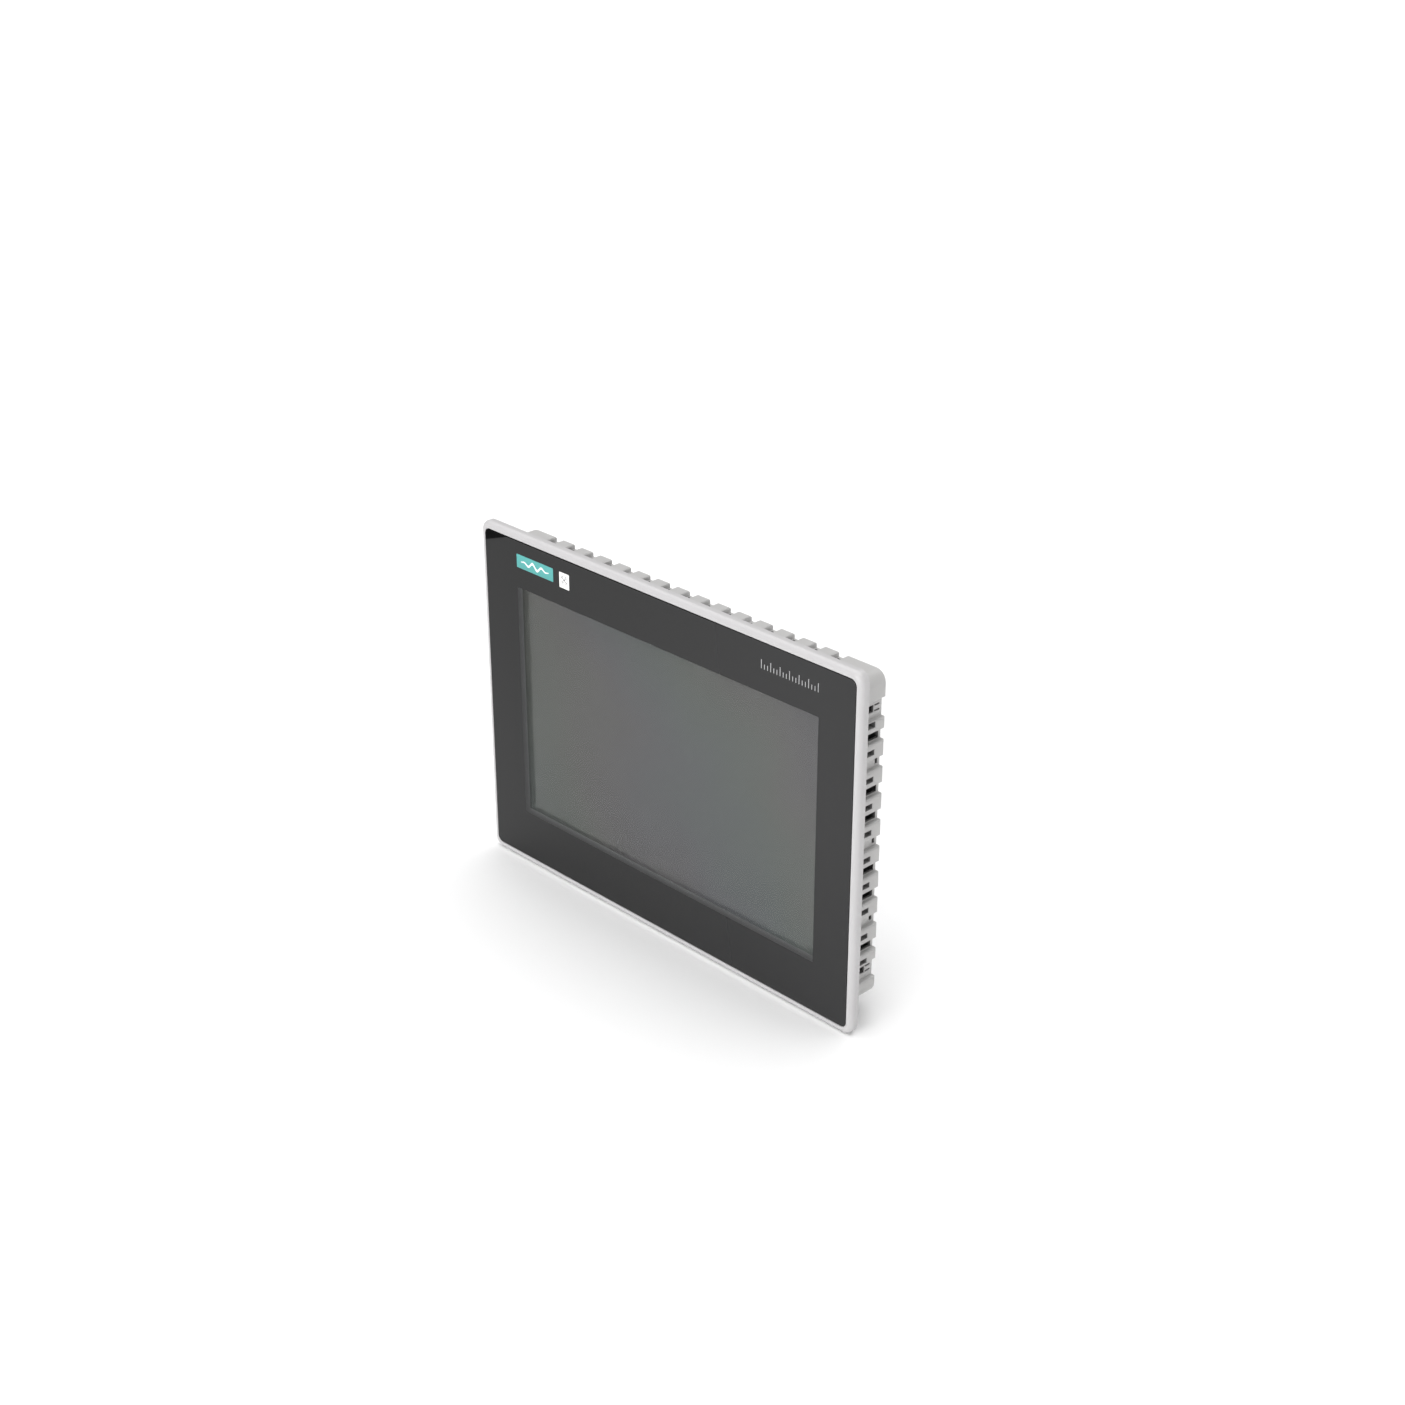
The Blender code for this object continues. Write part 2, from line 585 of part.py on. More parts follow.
def make_display():
    middle_x, middle_z = WINDOW_CENTRE
    sensor_x = about(middle_x, OPENING_WIDTH - 2 * SENSOR_MARGIN)
    sensor_z = about(middle_z, OPENING_HEIGHT - 2 * SENSOR_MARGIN)
    Solid().block(sensor_x, (GLASS_BACK + GAP, SENSOR_BACK), sensor_z).place("touch_sensor", "clear_film")
    outer = rounded(LCD_WIDTH, LCD_HEIGHT, MM, WINDOW_CENTRE)
    inner = rounded(LCD_WIDTH - 2 * SEAL_WIDTH, LCD_HEIGHT - 2 * SEAL_WIDTH, MM, WINDOW_CENTRE)
    low = SENSOR_BACK + GAP
    seal = [(outer, low), (outer, SEAL_BACK), (inner, SEAL_BACK), (inner, low)]
    Solid().loft(seal, closed=True).place("display_gasket", "black_rubber")
    lcd_x = about(middle_x, LCD_WIDTH)
    lcd_z = about(middle_z, LCD_HEIGHT)
    Solid().block(lcd_x, (LCD_FRONT, LCD_BACK), lcd_z).place("lcd_panel", "display_grey")
    led_z = (lcd_z[0], lcd_z[0] + LED_WIDTH)
    guide_z = (led_z[1] + GAP, lcd_z[1])
    Solid().block(lcd_x, (GUIDE_FRONT, GUIDE_BACK), led_z).place("led_strip", "white_plastic")
    Solid().block(lcd_x, (GUIDE_FRONT, GUIDE_BACK), guide_z).place("light_guide", "clear_film")
    inside = rounded(TRAY_WIDTH - 2 * TRAY_WALL, TRAY_HEIGHT - 2 * TRAY_WALL, MM / 2, WINDOW_CENTRE)
    outside = rounded(TRAY_WIDTH, TRAY_HEIGHT, MM, WINDOW_CENTRE)
    shell = [(inside, TRAY_FLOOR), (inside, LCD_FRONT), (outside, LCD_FRONT), (outside, TRAY_BACK)]
    Solid().loft(shell).place("backlight_tray", "steel")


def make_brackets():
    """An angle along the top and the bottom of the display, screwed to the frame's bosses."""
    half_height = OPENING_HEIGHT / 2
    span = about(WINDOW_CENTRE[0], OPENING_WIDTH - 2 * BRACKET_END)
    for name, top in (("display_bracket_bottom", -1), ("display_bracket_top", 1)):
        inner = WINDOW_CENTRE[1] + top * (TRAY_HEIGHT / 2 - BRACKET_OVERLAP)
        outer = WINDOW_CENTRE[1] + top * (half_height + BRACKET_REACH)
        web = outer - top * BRACKET_THICKNESS
        flange = BRACKET_BACK + BRACKET_FLANGE
        angle = [(BRACKET_FRONT, inner), (BRACKET_BACK, inner), (BRACKET_BACK, web), (flange, web)]
        angle += [(flange, outer), (BRACKET_FRONT, outer)]
        bracket = Solid().prism(angle, span, "X").place(name, "steel")
        holes = Solid()
        for centre in boss_centres():
            if centre[1] * top > 0:
                holes.rod(centre, MEDIUM_SCREW[2] + HOLE_CLEARANCE, (TRAY_BACK, BRACKET_BACK + MM))
        if top < 0:
            edge = WINDOW_CENTRE[1] - half_height - RIBBON_CLEARANCE
            for share, width in (DISPLAY_RIBBON, TOUCH_RIBBON):
                gap_x = about(share * BOARD_WIDTH, width + 2 * RIBBON_CLEARANCE)
                holes.block(gap_x, (TRAY_BACK, BRACKET_BACK + MM), (edge, inner + MM))
        cut(bracket, holes)
    for number, centre in enumerate(boss_centres(), 1):
        screw(f"bracket_screw_{number}", centre, BRACKET_BACK + GAP, BRACKET_BACK, MEDIUM_SCREW)


def make_rear_housing():
    inside = rounded(CAVITY_WIDTH, CAVITY_HEIGHT, HOUSING_CORNER_RADIUS - SIDE_WALL)
    outer = (HOUSING_WIDTH, HOUSING_HEIGHT, HOUSING_CORNER_RADIUS)
    sections = [(inside, CAVITY_BACK), (inside, GAP), (rounded(*outer), GAP)]
    sections += rounded_end(*outer, HOUSING_EDGE_RADIUS, HOUSING_DEPTH, GAP)
    housing = Solid().loft(sections).place("rear_housing", "housing_grey")
    join(housing, housing_bosses())
    cut(housing, housing_notches())
    cut(housing, housing_openings())
    cut(housing, housing_holes())
    for number, centre in enumerate(post_centres(), 1):
        seat = HOUSING_DEPTH - COUNTERBORE_DEPTH + GAP
        screw(f"housing_screw_{number}", centre, seat, seat + HOUSING_SCREW_BITE, LARGE_SCREW)


def housing_bosses():
    bosses = Solid()
    for centre in post_centres():
        bosses.rod(centre, POST_RADIUS, (GAP, HOUSING_DEPTH - REAR_WALL / 2))
    for centre in cover_screw_centres():
        low = COVER_FRONT - COVER_SCREW_LENGTH
        bosses.rod(centre, BOSS_RADIUS, (low, HOUSING_DEPTH - REAR_WALL / 2))
    for centre in standoff_centres():
        bosses.rod(centre, STANDOFF_RADIUS, (STANDOFF_TOP - BOARD_SCREW_LENGTH, STANDOFF_TOP))
    low = HOUSING_DEPTH - EARTH_SCREW_LENGTH
    bosses.rod(earth_centre(), WASHER_RADIUS, (low, HOUSING_DEPTH - REAR_WALL / 2))
    for centre in power_standoffs():
        bosses.rod(centre, STANDOFF_RADIUS, (CAVITY_BACK - POWER_BOARD_GAP, HOUSING_DEPTH - REAR_WALL / 2))
    return bosses


def housing_notches():
    """Channels along Y in the four sides, with straight walls that splay open at the outer face."""
    notches = Solid()
    for kind, sign, outward, half_length, shift in sides():
        places = [(middle, NOTCH_WIDTH) for _, middle in row_places(half_length, shift)[0]]
        if kind == "side":
            places += [(middle, CLAMP_WIDTH) for middle in clamp_places()]
        for middle, width in places:
            low, high = about(middle, width)
            splay = NOTCH_CHAMFER + MM
            shoulder = outward - NOTCH_CHAMFER
            outline = [(low, outward - NOTCH_DEPTH), (high, outward - NOTCH_DEPTH), (high, shoulder)]
            outline += [(high + splay, outward + MM), (low - splay, outward + MM), (low, shoulder)]
            outline = [(along, sign * depth) for along, depth in outline]
            if kind == "side":
                outline = [(depth, along) for along, depth in outline]
            notches.prism(outline, (NOTCH_START, HOUSING_DEPTH + MM))
    return notches


def clamp_places():
    reach = HOUSING_HEIGHT / 2 - CLAMP_INSET
    return [ROW_SHIFT_Z + reach, ROW_SHIFT_Z - reach]


def housing_openings():
    """The slots in the notches, the small vents in the pads, the clamp hooks' holes and the rear vents."""
    openings = Solid()
    slot_end = CAVITY_BACK - SLOT_MARGIN
    for kind, sign, outward, half_length, shift in sides():
        notches, pads = row_places(half_length, shift)
        wall = (outward - NOTCH_DEPTH - SIDE_WALL - GAP, outward + MM)
        for number, middle in notches:
            if number % LATCH_EVERY == 0 and (kind == "side" or abs(number) == LATCH_EVERY):
                latch = (slot_end - LATCH_HOLE_LENGTH, slot_end)
                side_block(openings, kind, sign, about(middle, LATCH_HOLE_WIDTH), wall, latch)
            else:
                side_block(openings, kind, sign, about(middle, SLOT_WIDTH), wall, (SLOT_START, slot_end))
        for middle in pads:
            vent = (SMALL_VENT_START, CAVITY_BACK - SMALL_VENT_MARGIN)
            side_block(openings, kind, sign, about(middle, SMALL_VENT_WIDTH), wall, vent)
            rear = (outward - REAR_VENT_INSET, outward - REAR_VENT_INSET + REAR_VENT_LENGTH)
            if kind == "side" or sign > 0 or abs(middle - earth_centre()[0]) > 2 * WASHER_RADIUS:
                through = (CAVITY_BACK - GAP, HOUSING_DEPTH + MM)
                side_block(openings, kind, sign, about(middle, SMALL_VENT_WIDTH), rear, through)
        if kind == "side":
            floor = outward - NOTCH_DEPTH
            hole = (CLAMP_HOLE_START, CLAMP_HOLE_START + CLAMP_HOLE_LENGTH)
            groove = (floor - CLAMP_GROOVE_DEPTH, outward)
            for middle in clamp_places():
                side_block(openings, kind, sign, about(middle, CLAMP_HOLE_WIDTH), wall, hole)
                for edge in about(middle, CLAMP_HOLE_WIDTH - CLAMP_GROOVE_WIDTH):
                    run = (hole[1] + CLAMP_GROOVE_GAP, slot_end)
                    side_block(openings, kind, sign, about(edge, CLAMP_GROOVE_WIDTH), groove, run)
    return openings


def housing_holes():
    """Screw holes, and the two slots that the ribbon cables go through."""
    holes = Solid()
    through = HOUSING_DEPTH + MM
    for centre in post_centres():
        floor = HOUSING_DEPTH - COUNTERBORE_DEPTH
        clear = LARGE_SCREW[2] + HOLE_CLEARANCE
        bore = LARGE_SCREW[0] + 2 * HOLE_CLEARANCE
        holes.turned(centre, [(clear, 0.0), (clear, floor), (bore, floor), (bore, through)])
    for centre in cover_screw_centres():
        low = COVER_FRONT - COVER_SCREW_LENGTH + MM
        holes.rod(centre, MEDIUM_SCREW[2] + HOLE_CLEARANCE, (low, through))
    for centre in standoff_centres():
        low = STANDOFF_TOP - BOARD_SCREW_LENGTH + MM
        holes.rod(centre, SMALL_SCREW[2] + HOLE_CLEARANCE, (low, STANDOFF_TOP + MM))
    low = HOUSING_DEPTH - EARTH_SCREW_LENGTH + MM
    holes.rod(earth_centre(), EARTH_SCREW[2] + HOLE_CLEARANCE, (low, through))
    for share, width in (DISPLAY_RIBBON, TOUCH_RIBBON):
        slot_x = about(share * BOARD_WIDTH, width + 2 * RIBBON_CLEARANCE)
        holes.block(slot_x, (CAVITY_BACK - GAP, through), about(ribbon_exit(), 4 * RIBBON_CLEARANCE))
    return holes


def earth_centre():
    return (-HOUSING_WIDTH / 2 + EARTH_INSET[0], -HOUSING_HEIGHT / 2 + EARTH_INSET[1])


def ribbon_exit():
    return WINDOW_CENTRE[1] - OPENING_HEIGHT / 2 + RIBBON_RISE


def make_earth_terminal():
    low = HOUSING_DEPTH + GAP
    washer = Solid().rod(earth_centre(), WASHER_RADIUS, (low, low + WASHER_THICKNESS))
    made = washer.place("earth_washer", "zinc")
    hole = Solid().rod(earth_centre(), EARTH_SCREW[2] + HOLE_CLEARANCE, (low - MM, low + 2 * MM))
    cut(made, hole)
    seat = low + WASHER_THICKNESS + GAP
    screw("earth_screw", earth_centre(), seat, EARTH_SCREW_LENGTH, EARTH_SCREW)


def port_row():
    """Each port's name, its centre along X and its sizes, spread evenly over the board's width."""
    names = ("power_socket", "ethernet_port_1", "ethernet_port_2", "usb_port_1", "usb_port_2", "serial_port")
    sizes = (POWER_SOCKET, ETHERNET_PORT, ETHERNET_PORT, USB_PORT, USB_PORT, SERIAL_PORT)
    row = list(zip(names, sizes)) + [("reset_button", (RESET_BAY, BUTTON_HEIGHT, RESET_BAY))]
    length = BOARD_WIDTH - 2 * PORT_ROW_MARGIN
    spare = (length - sum(size[0] for _, size in row)) / (len(row) - 1)
    edge = -length / 2
    places = {}
    for name, size in row:
        places[name] = (edge + size[0] / 2, size)
        edge += size[0] + spare
    return places


def make_back_cover():
    walls = 2 * COVER_WALL
    inside = rounded(COVER_WIDTH - walls, COVER_HEIGHT - walls, COVER_CORNER_RADIUS - COVER_WALL)
    lip = rounded(LIP_WIDTH, LIP_HEIGHT, HOUSING_CORNER_RADIUS)
    outer = (COVER_WIDTH, COVER_HEIGHT, COVER_CORNER_RADIUS)
    sections = [(inside, COVER_INSIDE), (inside, COVER_FRONT), (lip, COVER_FRONT), (lip, LIP_BACK)]
    sections += [(rounded(*outer), LIP_BACK)]
    sections += rounded_end(*outer, COVER_EDGE_RADIUS, COVER_BACK, COVER_FRONT)
    cover = Solid().loft(sections).place("back_cover", "cover_grey")
    join(cover, hinge_ears())
    cut(cover, cover_openings())
    cut(cover, cover_grilles())
    for number, centre in enumerate(cover_screw_centres(), 1):
        seat = LIP_BACK + GAP
        screw(f"cover_screw_{number}", centre, seat, COVER_SCREW_LENGTH - MM, MEDIUM_SCREW)


def hinge_axis():
    """Where the door's hinge axis crosses the XY plane."""
    return (COVER_RIGHT + HINGE_STAND_OFF, LIP_BACK + HINGE_RISE)


def door_span():
    return about(CARD_CENTRE_Z, DOOR_LENGTH)


def hinge_ears():
    ears = Solid()
    axis_x, axis_y = hinge_axis()
    low, high = door_span()
    reach = HINGE_RADIUS + 2 * GAP
    for start in (low - GAP - EAR_LENGTH, high + GAP):
        span_x = (COVER_RIGHT - COVER_WALL / 2, axis_x + HINGE_RADIUS)
        span_y = (LIP_BACK - GAP, axis_y + reach)
        ears.block(span_x, span_y, (start, start + EAR_LENGTH))
    return ears


def cover_openings():
    """Screw holes, hinge pin bores, the card bay and the mouths of the ports."""
    holes = Solid()
    for centre in cover_screw_centres():
        holes.rod(centre, MEDIUM_SCREW[2] + HOLE_CLEARANCE, (COVER_FRONT - MM, LIP_BACK + MM))
    low, high = door_span()
    for start in (low - GAP - EAR_LENGTH, high + GAP):
        span = (start - MM, start + EAR_LENGTH + MM)
        holes.rod(hinge_axis(), PIN_RADIUS + GAP, span, "Z")
    bay_z = about(CARD_CENTRE_Z, DOOR_LENGTH - 2 * DOOR_OVERLAP)
    bay_y = (LIP_BACK + GAP, hinge_axis()[1] + DOOR_REACH - DOOR_OVERLAP)
    holes.block((COVER_RIGHT - COVER_WALL - MM, COVER_RIGHT + GAP), bay_y, bay_z)
    wall_z = (COVER_BOTTOM - GAP, COVER_BOTTOM + COVER_WALL + MM)
    for name, (across, size) in port_row().items():
        if name == "reset_button":
            button = (across, SEAT + BUTTON_HEIGHT)
            holes.rod(button, BUTTON_RADIUS + HOLE_CLEARANCE, (wall_z[0], wall_z[1]), "Z")
        else:
            mouth_x = about(across, size[0] + 2 * PORT_CLEARANCE)
            holes.block(mouth_x, (LIP_BACK + GAP, SEAT + size[1] + PORT_CLEARANCE), wall_z)
    return holes


def cover_grilles():
    """Slots in the back over the heat sink, and along the top and the left side."""
    slots = Solid()
    through = (COVER_INSIDE - MM, COVER_BACK + MM)
    left = -COVER_WIDTH / 2 + GRILLE_MARGIN
    for number in range(GRILLE_COUNT):
        slot_x = about(left + number * GRILLE_PITCH, GRILLE_SLOT_WIDTH)
        for row in (1, -1):
            middle = row * (GRILLE_LENGTH / 2 + GRILLE_PITCH / 2)
            slots.block(slot_x, through, about(middle, GRILLE_LENGTH))
    slot_y = about((LIP_BACK + COVER_BACK) / 2, SIDE_GRILLE_LENGTH)
    count = int((COVER_WIDTH / 2 - GRILLE_MARGIN) / SIDE_GRILLE_PITCH)
    wall_z = (COVER_HEIGHT / 2 - COVER_WALL - MM, COVER_HEIGHT / 2 + MM)
    for number in range(-count, count + 1):
        slots.block(about(number * SIDE_GRILLE_PITCH, GRILLE_SLOT_WIDTH), slot_y, wall_z)
    count = int((COVER_HEIGHT / 2 - GRILLE_MARGIN) / SIDE_GRILLE_PITCH)
    wall_x = (-COVER_WIDTH / 2 - MM, -COVER_WIDTH / 2 + COVER_WALL + MM)
    for number in range(-count, count + 1):
        slots.block(wall_x, slot_y, about(number * SIDE_GRILLE_PITCH, GRILLE_SLOT_WIDTH))
    return slots


def make_type_plate():
    width, height = TYPE_PLATE_SIZE
    middle_x = COVER_WIDTH / 2 - TYPE_PLATE_MARGIN[0] - width / 2
    middle_z = COVER_HEIGHT / 2 - TYPE_PLATE_MARGIN[1] - height / 2
    plate = rounded(width, height, MM, (middle_x, middle_z))
    span = (COVER_BACK + GAP, COVER_BACK + GAP + LABEL_THICKNESS)
    Solid().prism(plate, span).place("type_plate", "aluminium")


def make_main_board():
    board = Solid().block(about(0.0, BOARD_WIDTH), (BOARD_FRONT, BOARD_FRONT + BOARD_THICKNESS),
                          about(0.0, BOARD_HEIGHT))
    made = board.place("main_board", "board_green")
    holes = Solid()
    for centre in standoff_centres():
        holes.rod(centre, SMALL_SCREW[2] + HOLE_CLEARANCE, (BOARD_FRONT - MM, SEAT + MM))
    cut(made, holes)
    for number, centre in enumerate(standoff_centres(), 1):
        screw(f"board_screw_{number}", centre, SEAT, BOARD_SCREW_LENGTH - MM, SMALL_SCREW)


def make_board_pieces():
    size, height = PROCESSOR_SIZE
    across, up = PROCESSOR_PLACE[0] * BOARD_WIDTH, PROCESSOR_PLACE[1] * BOARD_HEIGHT
    top = SEAT + height
    Solid().block(about(across, size), (SEAT, top), about(up, size)).place("processor", "chip_black")
    make_heat_sink(across, up, top + GAP)
    width, thickness, length = MEMORY_SIZE
    beside = across + SINK_SIZE / 2 + width
    memory = Solid().block(about(beside, width), (SEAT, SEAT + thickness), about(up, length))
    memory.place("memory_chip", "chip_black")
    left = -BOARD_WIDTH / 2 + HOLDER_SIZE / 2 + HOLDER_INSET
    corner = (left, -BOARD_HEIGHT / 2 + LOWER_STANDOFF_RISE + HOLDER_SIZE)
    span = (SEAT, SEAT + HOLDER_HEIGHT)
    holder = Solid().block(about(corner[0], HOLDER_SIZE), span, about(corner[1], HOLDER_SIZE))
    holder = holder.place("battery_holder", "black_plastic")
    pocket = span[1] - CELL_THICKNESS - GAP
    cut(holder, Solid().rod(corner, CELL_RADIUS + GAP, (pocket, span[1] + MM), steps=CELL_STEPS))
    cell = (pocket + GAP, pocket + GAP + CELL_THICKNESS)
    Solid().rod(corner, CELL_RADIUS, cell, steps=CELL_STEPS).place("backup_battery", "zinc")


def make_heat_sink(across, up, low):
    """A comb outline: a base with upright fins, drawn across X and Y and run along Z."""
    left = across - SINK_SIZE / 2
    step = (SINK_SIZE - SINK_FIN) / (SINK_FIN_COUNT - 1)
    tip = COVER_INSIDE - MM
    base = low + SINK_BASE
    comb = [(left + SINK_SIZE, low), (left, low)]
    for number in range(SINK_FIN_COUNT):
        edge = left + number * step
        comb += [(edge, tip), (edge + SINK_FIN, tip)]
        if number < SINK_FIN_COUNT - 1:
            comb += [(edge + SINK_FIN, base), (edge + step, base)]
    Solid().prism(comb, about(up, SINK_SIZE), "Z").place("heat_sink", "aluminium")


def power_centre():
    """The power board hangs below and inside the main board's upper right standoff."""
    right, top = standoff_centres()[-1]
    return (right - POWER_BOARD_INSET[0], top - POWER_BOARD_INSET[1])


def power_standoffs():
    width, height = POWER_BOARD_SIZE
    across, up = power_centre()
    half = (width / 2 - STANDOFF_RADIUS, height / 2 - STANDOFF_RADIUS)
    return [(across + side * half[0], up + top * half[1]) for side, top in CORNERS]


def make_power_board():
    across, up = power_centre()
    width, height = POWER_BOARD_SIZE
    back = CAVITY_BACK - POWER_BOARD_GAP - GAP
    front = back - BOARD_THICKNESS
    Solid().block(about(across, width), (front, back), about(up, height)).place("power_board", "board_green")
    seat = front - GAP
    room = seat - TRAY_BACK
    inductor = rounded(INDUCTOR_SIZE, INDUCTOR_SIZE, 2 * MM, (across - width / 4, up))
    Solid().prism(inductor, (seat - INDUCTOR_SHARE * room, seat)).place("power_inductor", "chip_black")
    for number, side in enumerate((-1, 1), 1):
        centre = (across + width / 4, up + side * CAPACITOR_SPREAD * CAPACITOR_RADIUS)
        tall = (seat - CAPACITOR_SHARE * room, seat)
        Solid().rod(centre, CAPACITOR_RADIUS, tall).place(f"buffer_capacitor_{number}", "aluminium")


def ribbon(name, place, start):
    """A flat cable from beside the display, behind its tray and through the housing to the board."""
    across = place[0] * BOARD_WIDTH
    edge = WINDOW_CENTRE[1] - TRAY_HEIGHT / 2 - (OPENING_HEIGHT - TRAY_HEIGHT) / 4
    behind = BRACKET_BACK + 2 * RIBBON_CLEARANCE
    end = BOARD_FRONT - GAP - RIBBON_THICKNESS
    route = [(start, edge), (behind, edge), (behind, ribbon_exit()), (end, ribbon_exit())]
    path = rounded_path(route, RIBBON_BEND, RIBBON_BEND_STEPS)
    half = RIBBON_THICKNESS / 2
    left = []
    right = []
    for spot, here in enumerate(path):
        ahead = path[min(spot + 1, len(path) - 1)]
        before = path[max(spot - 1, 0)]
        heading = (ahead - before).normalized()
        side = Vector((-heading.y, heading.x)) * half
        left.append(tuple(here + side))
        right.append(tuple(here - side))
    Solid().prism(left + right[::-1], about(across, place[1]), "X").place(name, "ribbon_amber")


def make_ribbons():
    ribbon("display_cable", DISPLAY_RIBBON, LCD_FRONT)
    ribbon("touch_cable", TOUCH_RIBBON, SENSOR_BACK + GAP)


def port_body(name, size, finish_name):
    across = port_row()[name][0]
    span_y = (SEAT, SEAT + size[1])
    body = Solid().block(about(across, size[0]), span_y, (PORT_MOUTH, PORT_MOUTH + size[2]))
    return body.place(name, finish_name), across, SEAT + size[1] / 2


def mouth(across, middle, opening):
    """A rectangular socket from the mouth of a port inwards."""
    depth = (PORT_MOUTH - MM, PORT_MOUTH + opening[2])
    return Solid().block(about(across, opening[0]), about(middle, opening[1]), depth)


def make_ports():
    socket, across, middle = port_body("power_socket", POWER_SOCKET, "terminal_green")
    cut(socket, mouth(across, middle, POWER_OPENING))
    pins = Solid()
    thickness, pitch, length = POWER_PIN
    floor = PORT_MOUTH + POWER_OPENING[2]
    for number in (-1, 0, 1):
        pin_x = about(across + number * pitch, thickness)
        pins.block(pin_x, about(middle, thickness), (floor - length, floor + MM))
    join(socket, pins)
    for name in ("ethernet_port_1", "ethernet_port_2"):
        port, across, middle = port_body(name, ETHERNET_PORT, "zinc")
        key = rectangle(about(across, ETHERNET_OPENING[0]), about(middle, ETHERNET_OPENING[1]))
        half = ETHERNET_KEY[0] / 2
        low = key[0][1]
        key[1:1] = [(across - half, low), (across - half, low - ETHERNET_KEY[1])]
        key[3:3] = [(across + half, low - ETHERNET_KEY[1]), (across + half, low)]
        depth = (PORT_MOUTH - MM, PORT_MOUTH + ETHERNET_OPENING[2])
        cut(port, Solid().prism(key, depth, "Z"))
    for name in ("usb_port_1", "usb_port_2"):
        port, across, middle = port_body(name, USB_PORT, "zinc")
        cut(port, mouth(across, middle, USB_OPENING))
        floor = PORT_MOUTH + USB_OPENING[2]
        tongue_y = about(middle + USB_TONGUE[1] / 2, USB_TONGUE[1])
        tongue = Solid().block(about(across, USB_TONGUE[0]), tongue_y, (floor - USB_TONGUE[2], floor + MM))
        join(port, tongue)
    make_serial_port()


def make_serial_port():
    """A connector body with a D-shaped shell and two hexagonal posts standing out of it."""
    port, across, middle = port_body("serial_port", SERIAL_PORT, "zinc")
    width, height, proud = SERIAL_SHELL
    outlines = []
    for shrink in (0.0, SERIAL_SHELL_WALL):
        wide = width / 2 - shrink
        narrow = wide - SERIAL_SHELL_TAPER
        tall = height / 2 - shrink
        corners = [(-narrow, -tall), (narrow, -tall), (wide, tall), (-wide, tall)]
        outlines.append([(across + x, middle + y) for x, y in corners])
    tip = PORT_MOUTH - proud
    shell = Solid().prism(outlines[0], (tip, PORT_MOUTH + MM), "Z")
    radius, reach, length = SERIAL_NUT
    for side in (-1, 1):
        centre = (across + side * reach, middle)
        shell.rod(centre, radius, (PORT_MOUTH - length, PORT_MOUTH + MM), "Z", 6)
    join(port, shell)
    cut(port, Solid().prism(outlines[1], (tip - MM, PORT_MOUTH), "Z"))


def make_reset_button():
    across = port_row()["reset_button"][0]
    centre = (across, SEAT + BUTTON_HEIGHT)
    inner_face = COVER_BOTTOM + COVER_WALL
    collar = inner_face + GAP
    tail = collar + BUTTON_COLLAR_HEIGHT
    tip = tail + 2 * BUTTON_TRAVEL
    profile = [(BUTTON_RADIUS, COVER_BOTTOM + BUTTON_RECESS), (BUTTON_RADIUS, collar)]
    profile += [(BUTTON_COLLAR_RADIUS, collar), (BUTTON_COLLAR_RADIUS, tail)]
    profile += [(BUTTON_TAIL_RADIUS, tail), (BUTTON_TAIL_RADIUS, tip)]
    Solid().turned(centre, profile, "Z").place("reset_button", "black_plastic")
    low = tip + BUTTON_TRAVEL + GAP
    width, height, length = SWITCH_SIZE
    switch = Solid().block(about(across, width), (SEAT, SEAT + height), (low, low + length))
    switch.place("reset_switch", "chip_black")


def make_card_reader():
    """A thin box open to the right, with the card in it; the card's edge stands out of the box."""
    length, thickness, width = CARD_SIZE
    card_end = COVER_RIGHT - COVER_WALL - CARD_EJECT_TRAVEL - CARD_WALL_GAP
    card_x = (card_end - length, card_end)
    card_y = (SEAT + READER_WALL + GAP, SEAT + READER_WALL + GAP + thickness)
    Solid().block(card_x, card_y, about(CARD_CENTRE_Z, width)).place("memory_card", "black_plastic")
    mouth_x = card_end - CARD_PROUD
    room_y = (card_y[0] - GAP, card_y[1] + GAP)
    room_x = (card_x[0] - GAP, mouth_x + MM)
    shell_x = (card_x[0] - GAP - READER_WALL, mouth_x)
    shell_y = (SEAT, room_y[1] + READER_WALL)
    shell_z = about(CARD_CENTRE_Z, width + 2 * (GAP + READER_WALL))
    reader = Solid().block(shell_x, shell_y, shell_z).place("card_reader", "steel")
    cut(reader, Solid().block(room_x, room_y, about(CARD_CENTRE_Z, width + 2 * GAP)))


def make_card_door():
    """A flap on a barrel along its front edge, with a thumb lip at its free edge."""
    axis_x, axis_y = hinge_axis()
    span = door_span()
    outer = axis_x + GAP
    inner = outer - DOOR_THICKNESS
    free = axis_y + DOOR_REACH
    door = Solid().block((inner, outer), (axis_y, free), span).place("card_door", "cover_grey")
    join(door, Solid().rod((axis_x, axis_y), HINGE_RADIUS, span, "Z"))
    lip_z = about(CARD_CENTRE_Z, DOOR_LENGTH / 3)
    join(door, Solid().block((inner + GAP, outer + DOOR_LIP), (free - DOOR_LIP, free + GAP), lip_z))
    cut(door, Solid().rod((axis_x, axis_y), PIN_RADIUS + GAP, (span[0] - MM, span[1] + MM), "Z"))
    pin = (span[0] - EAR_LENGTH, span[1] + EAR_LENGTH)
    Solid().rod((axis_x, axis_y), PIN_RADIUS, pin, "Z", PIN_STEPS).place("door_pin", "steel")


def main():
    clear_scene()
    make_front_frame()
    make_glass_and_seals()
    make_marks()
    make_display()
    make_brackets()
    make_rear_housing()
    make_earth_terminal()
    make_back_cover()
    make_type_plate()
    make_main_board()
    make_board_pieces()
    make_power_board()
    make_ribbons()
    make_ports()
    make_reset_button()
    make_card_reader()
    make_card_door()


main()
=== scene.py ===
import math

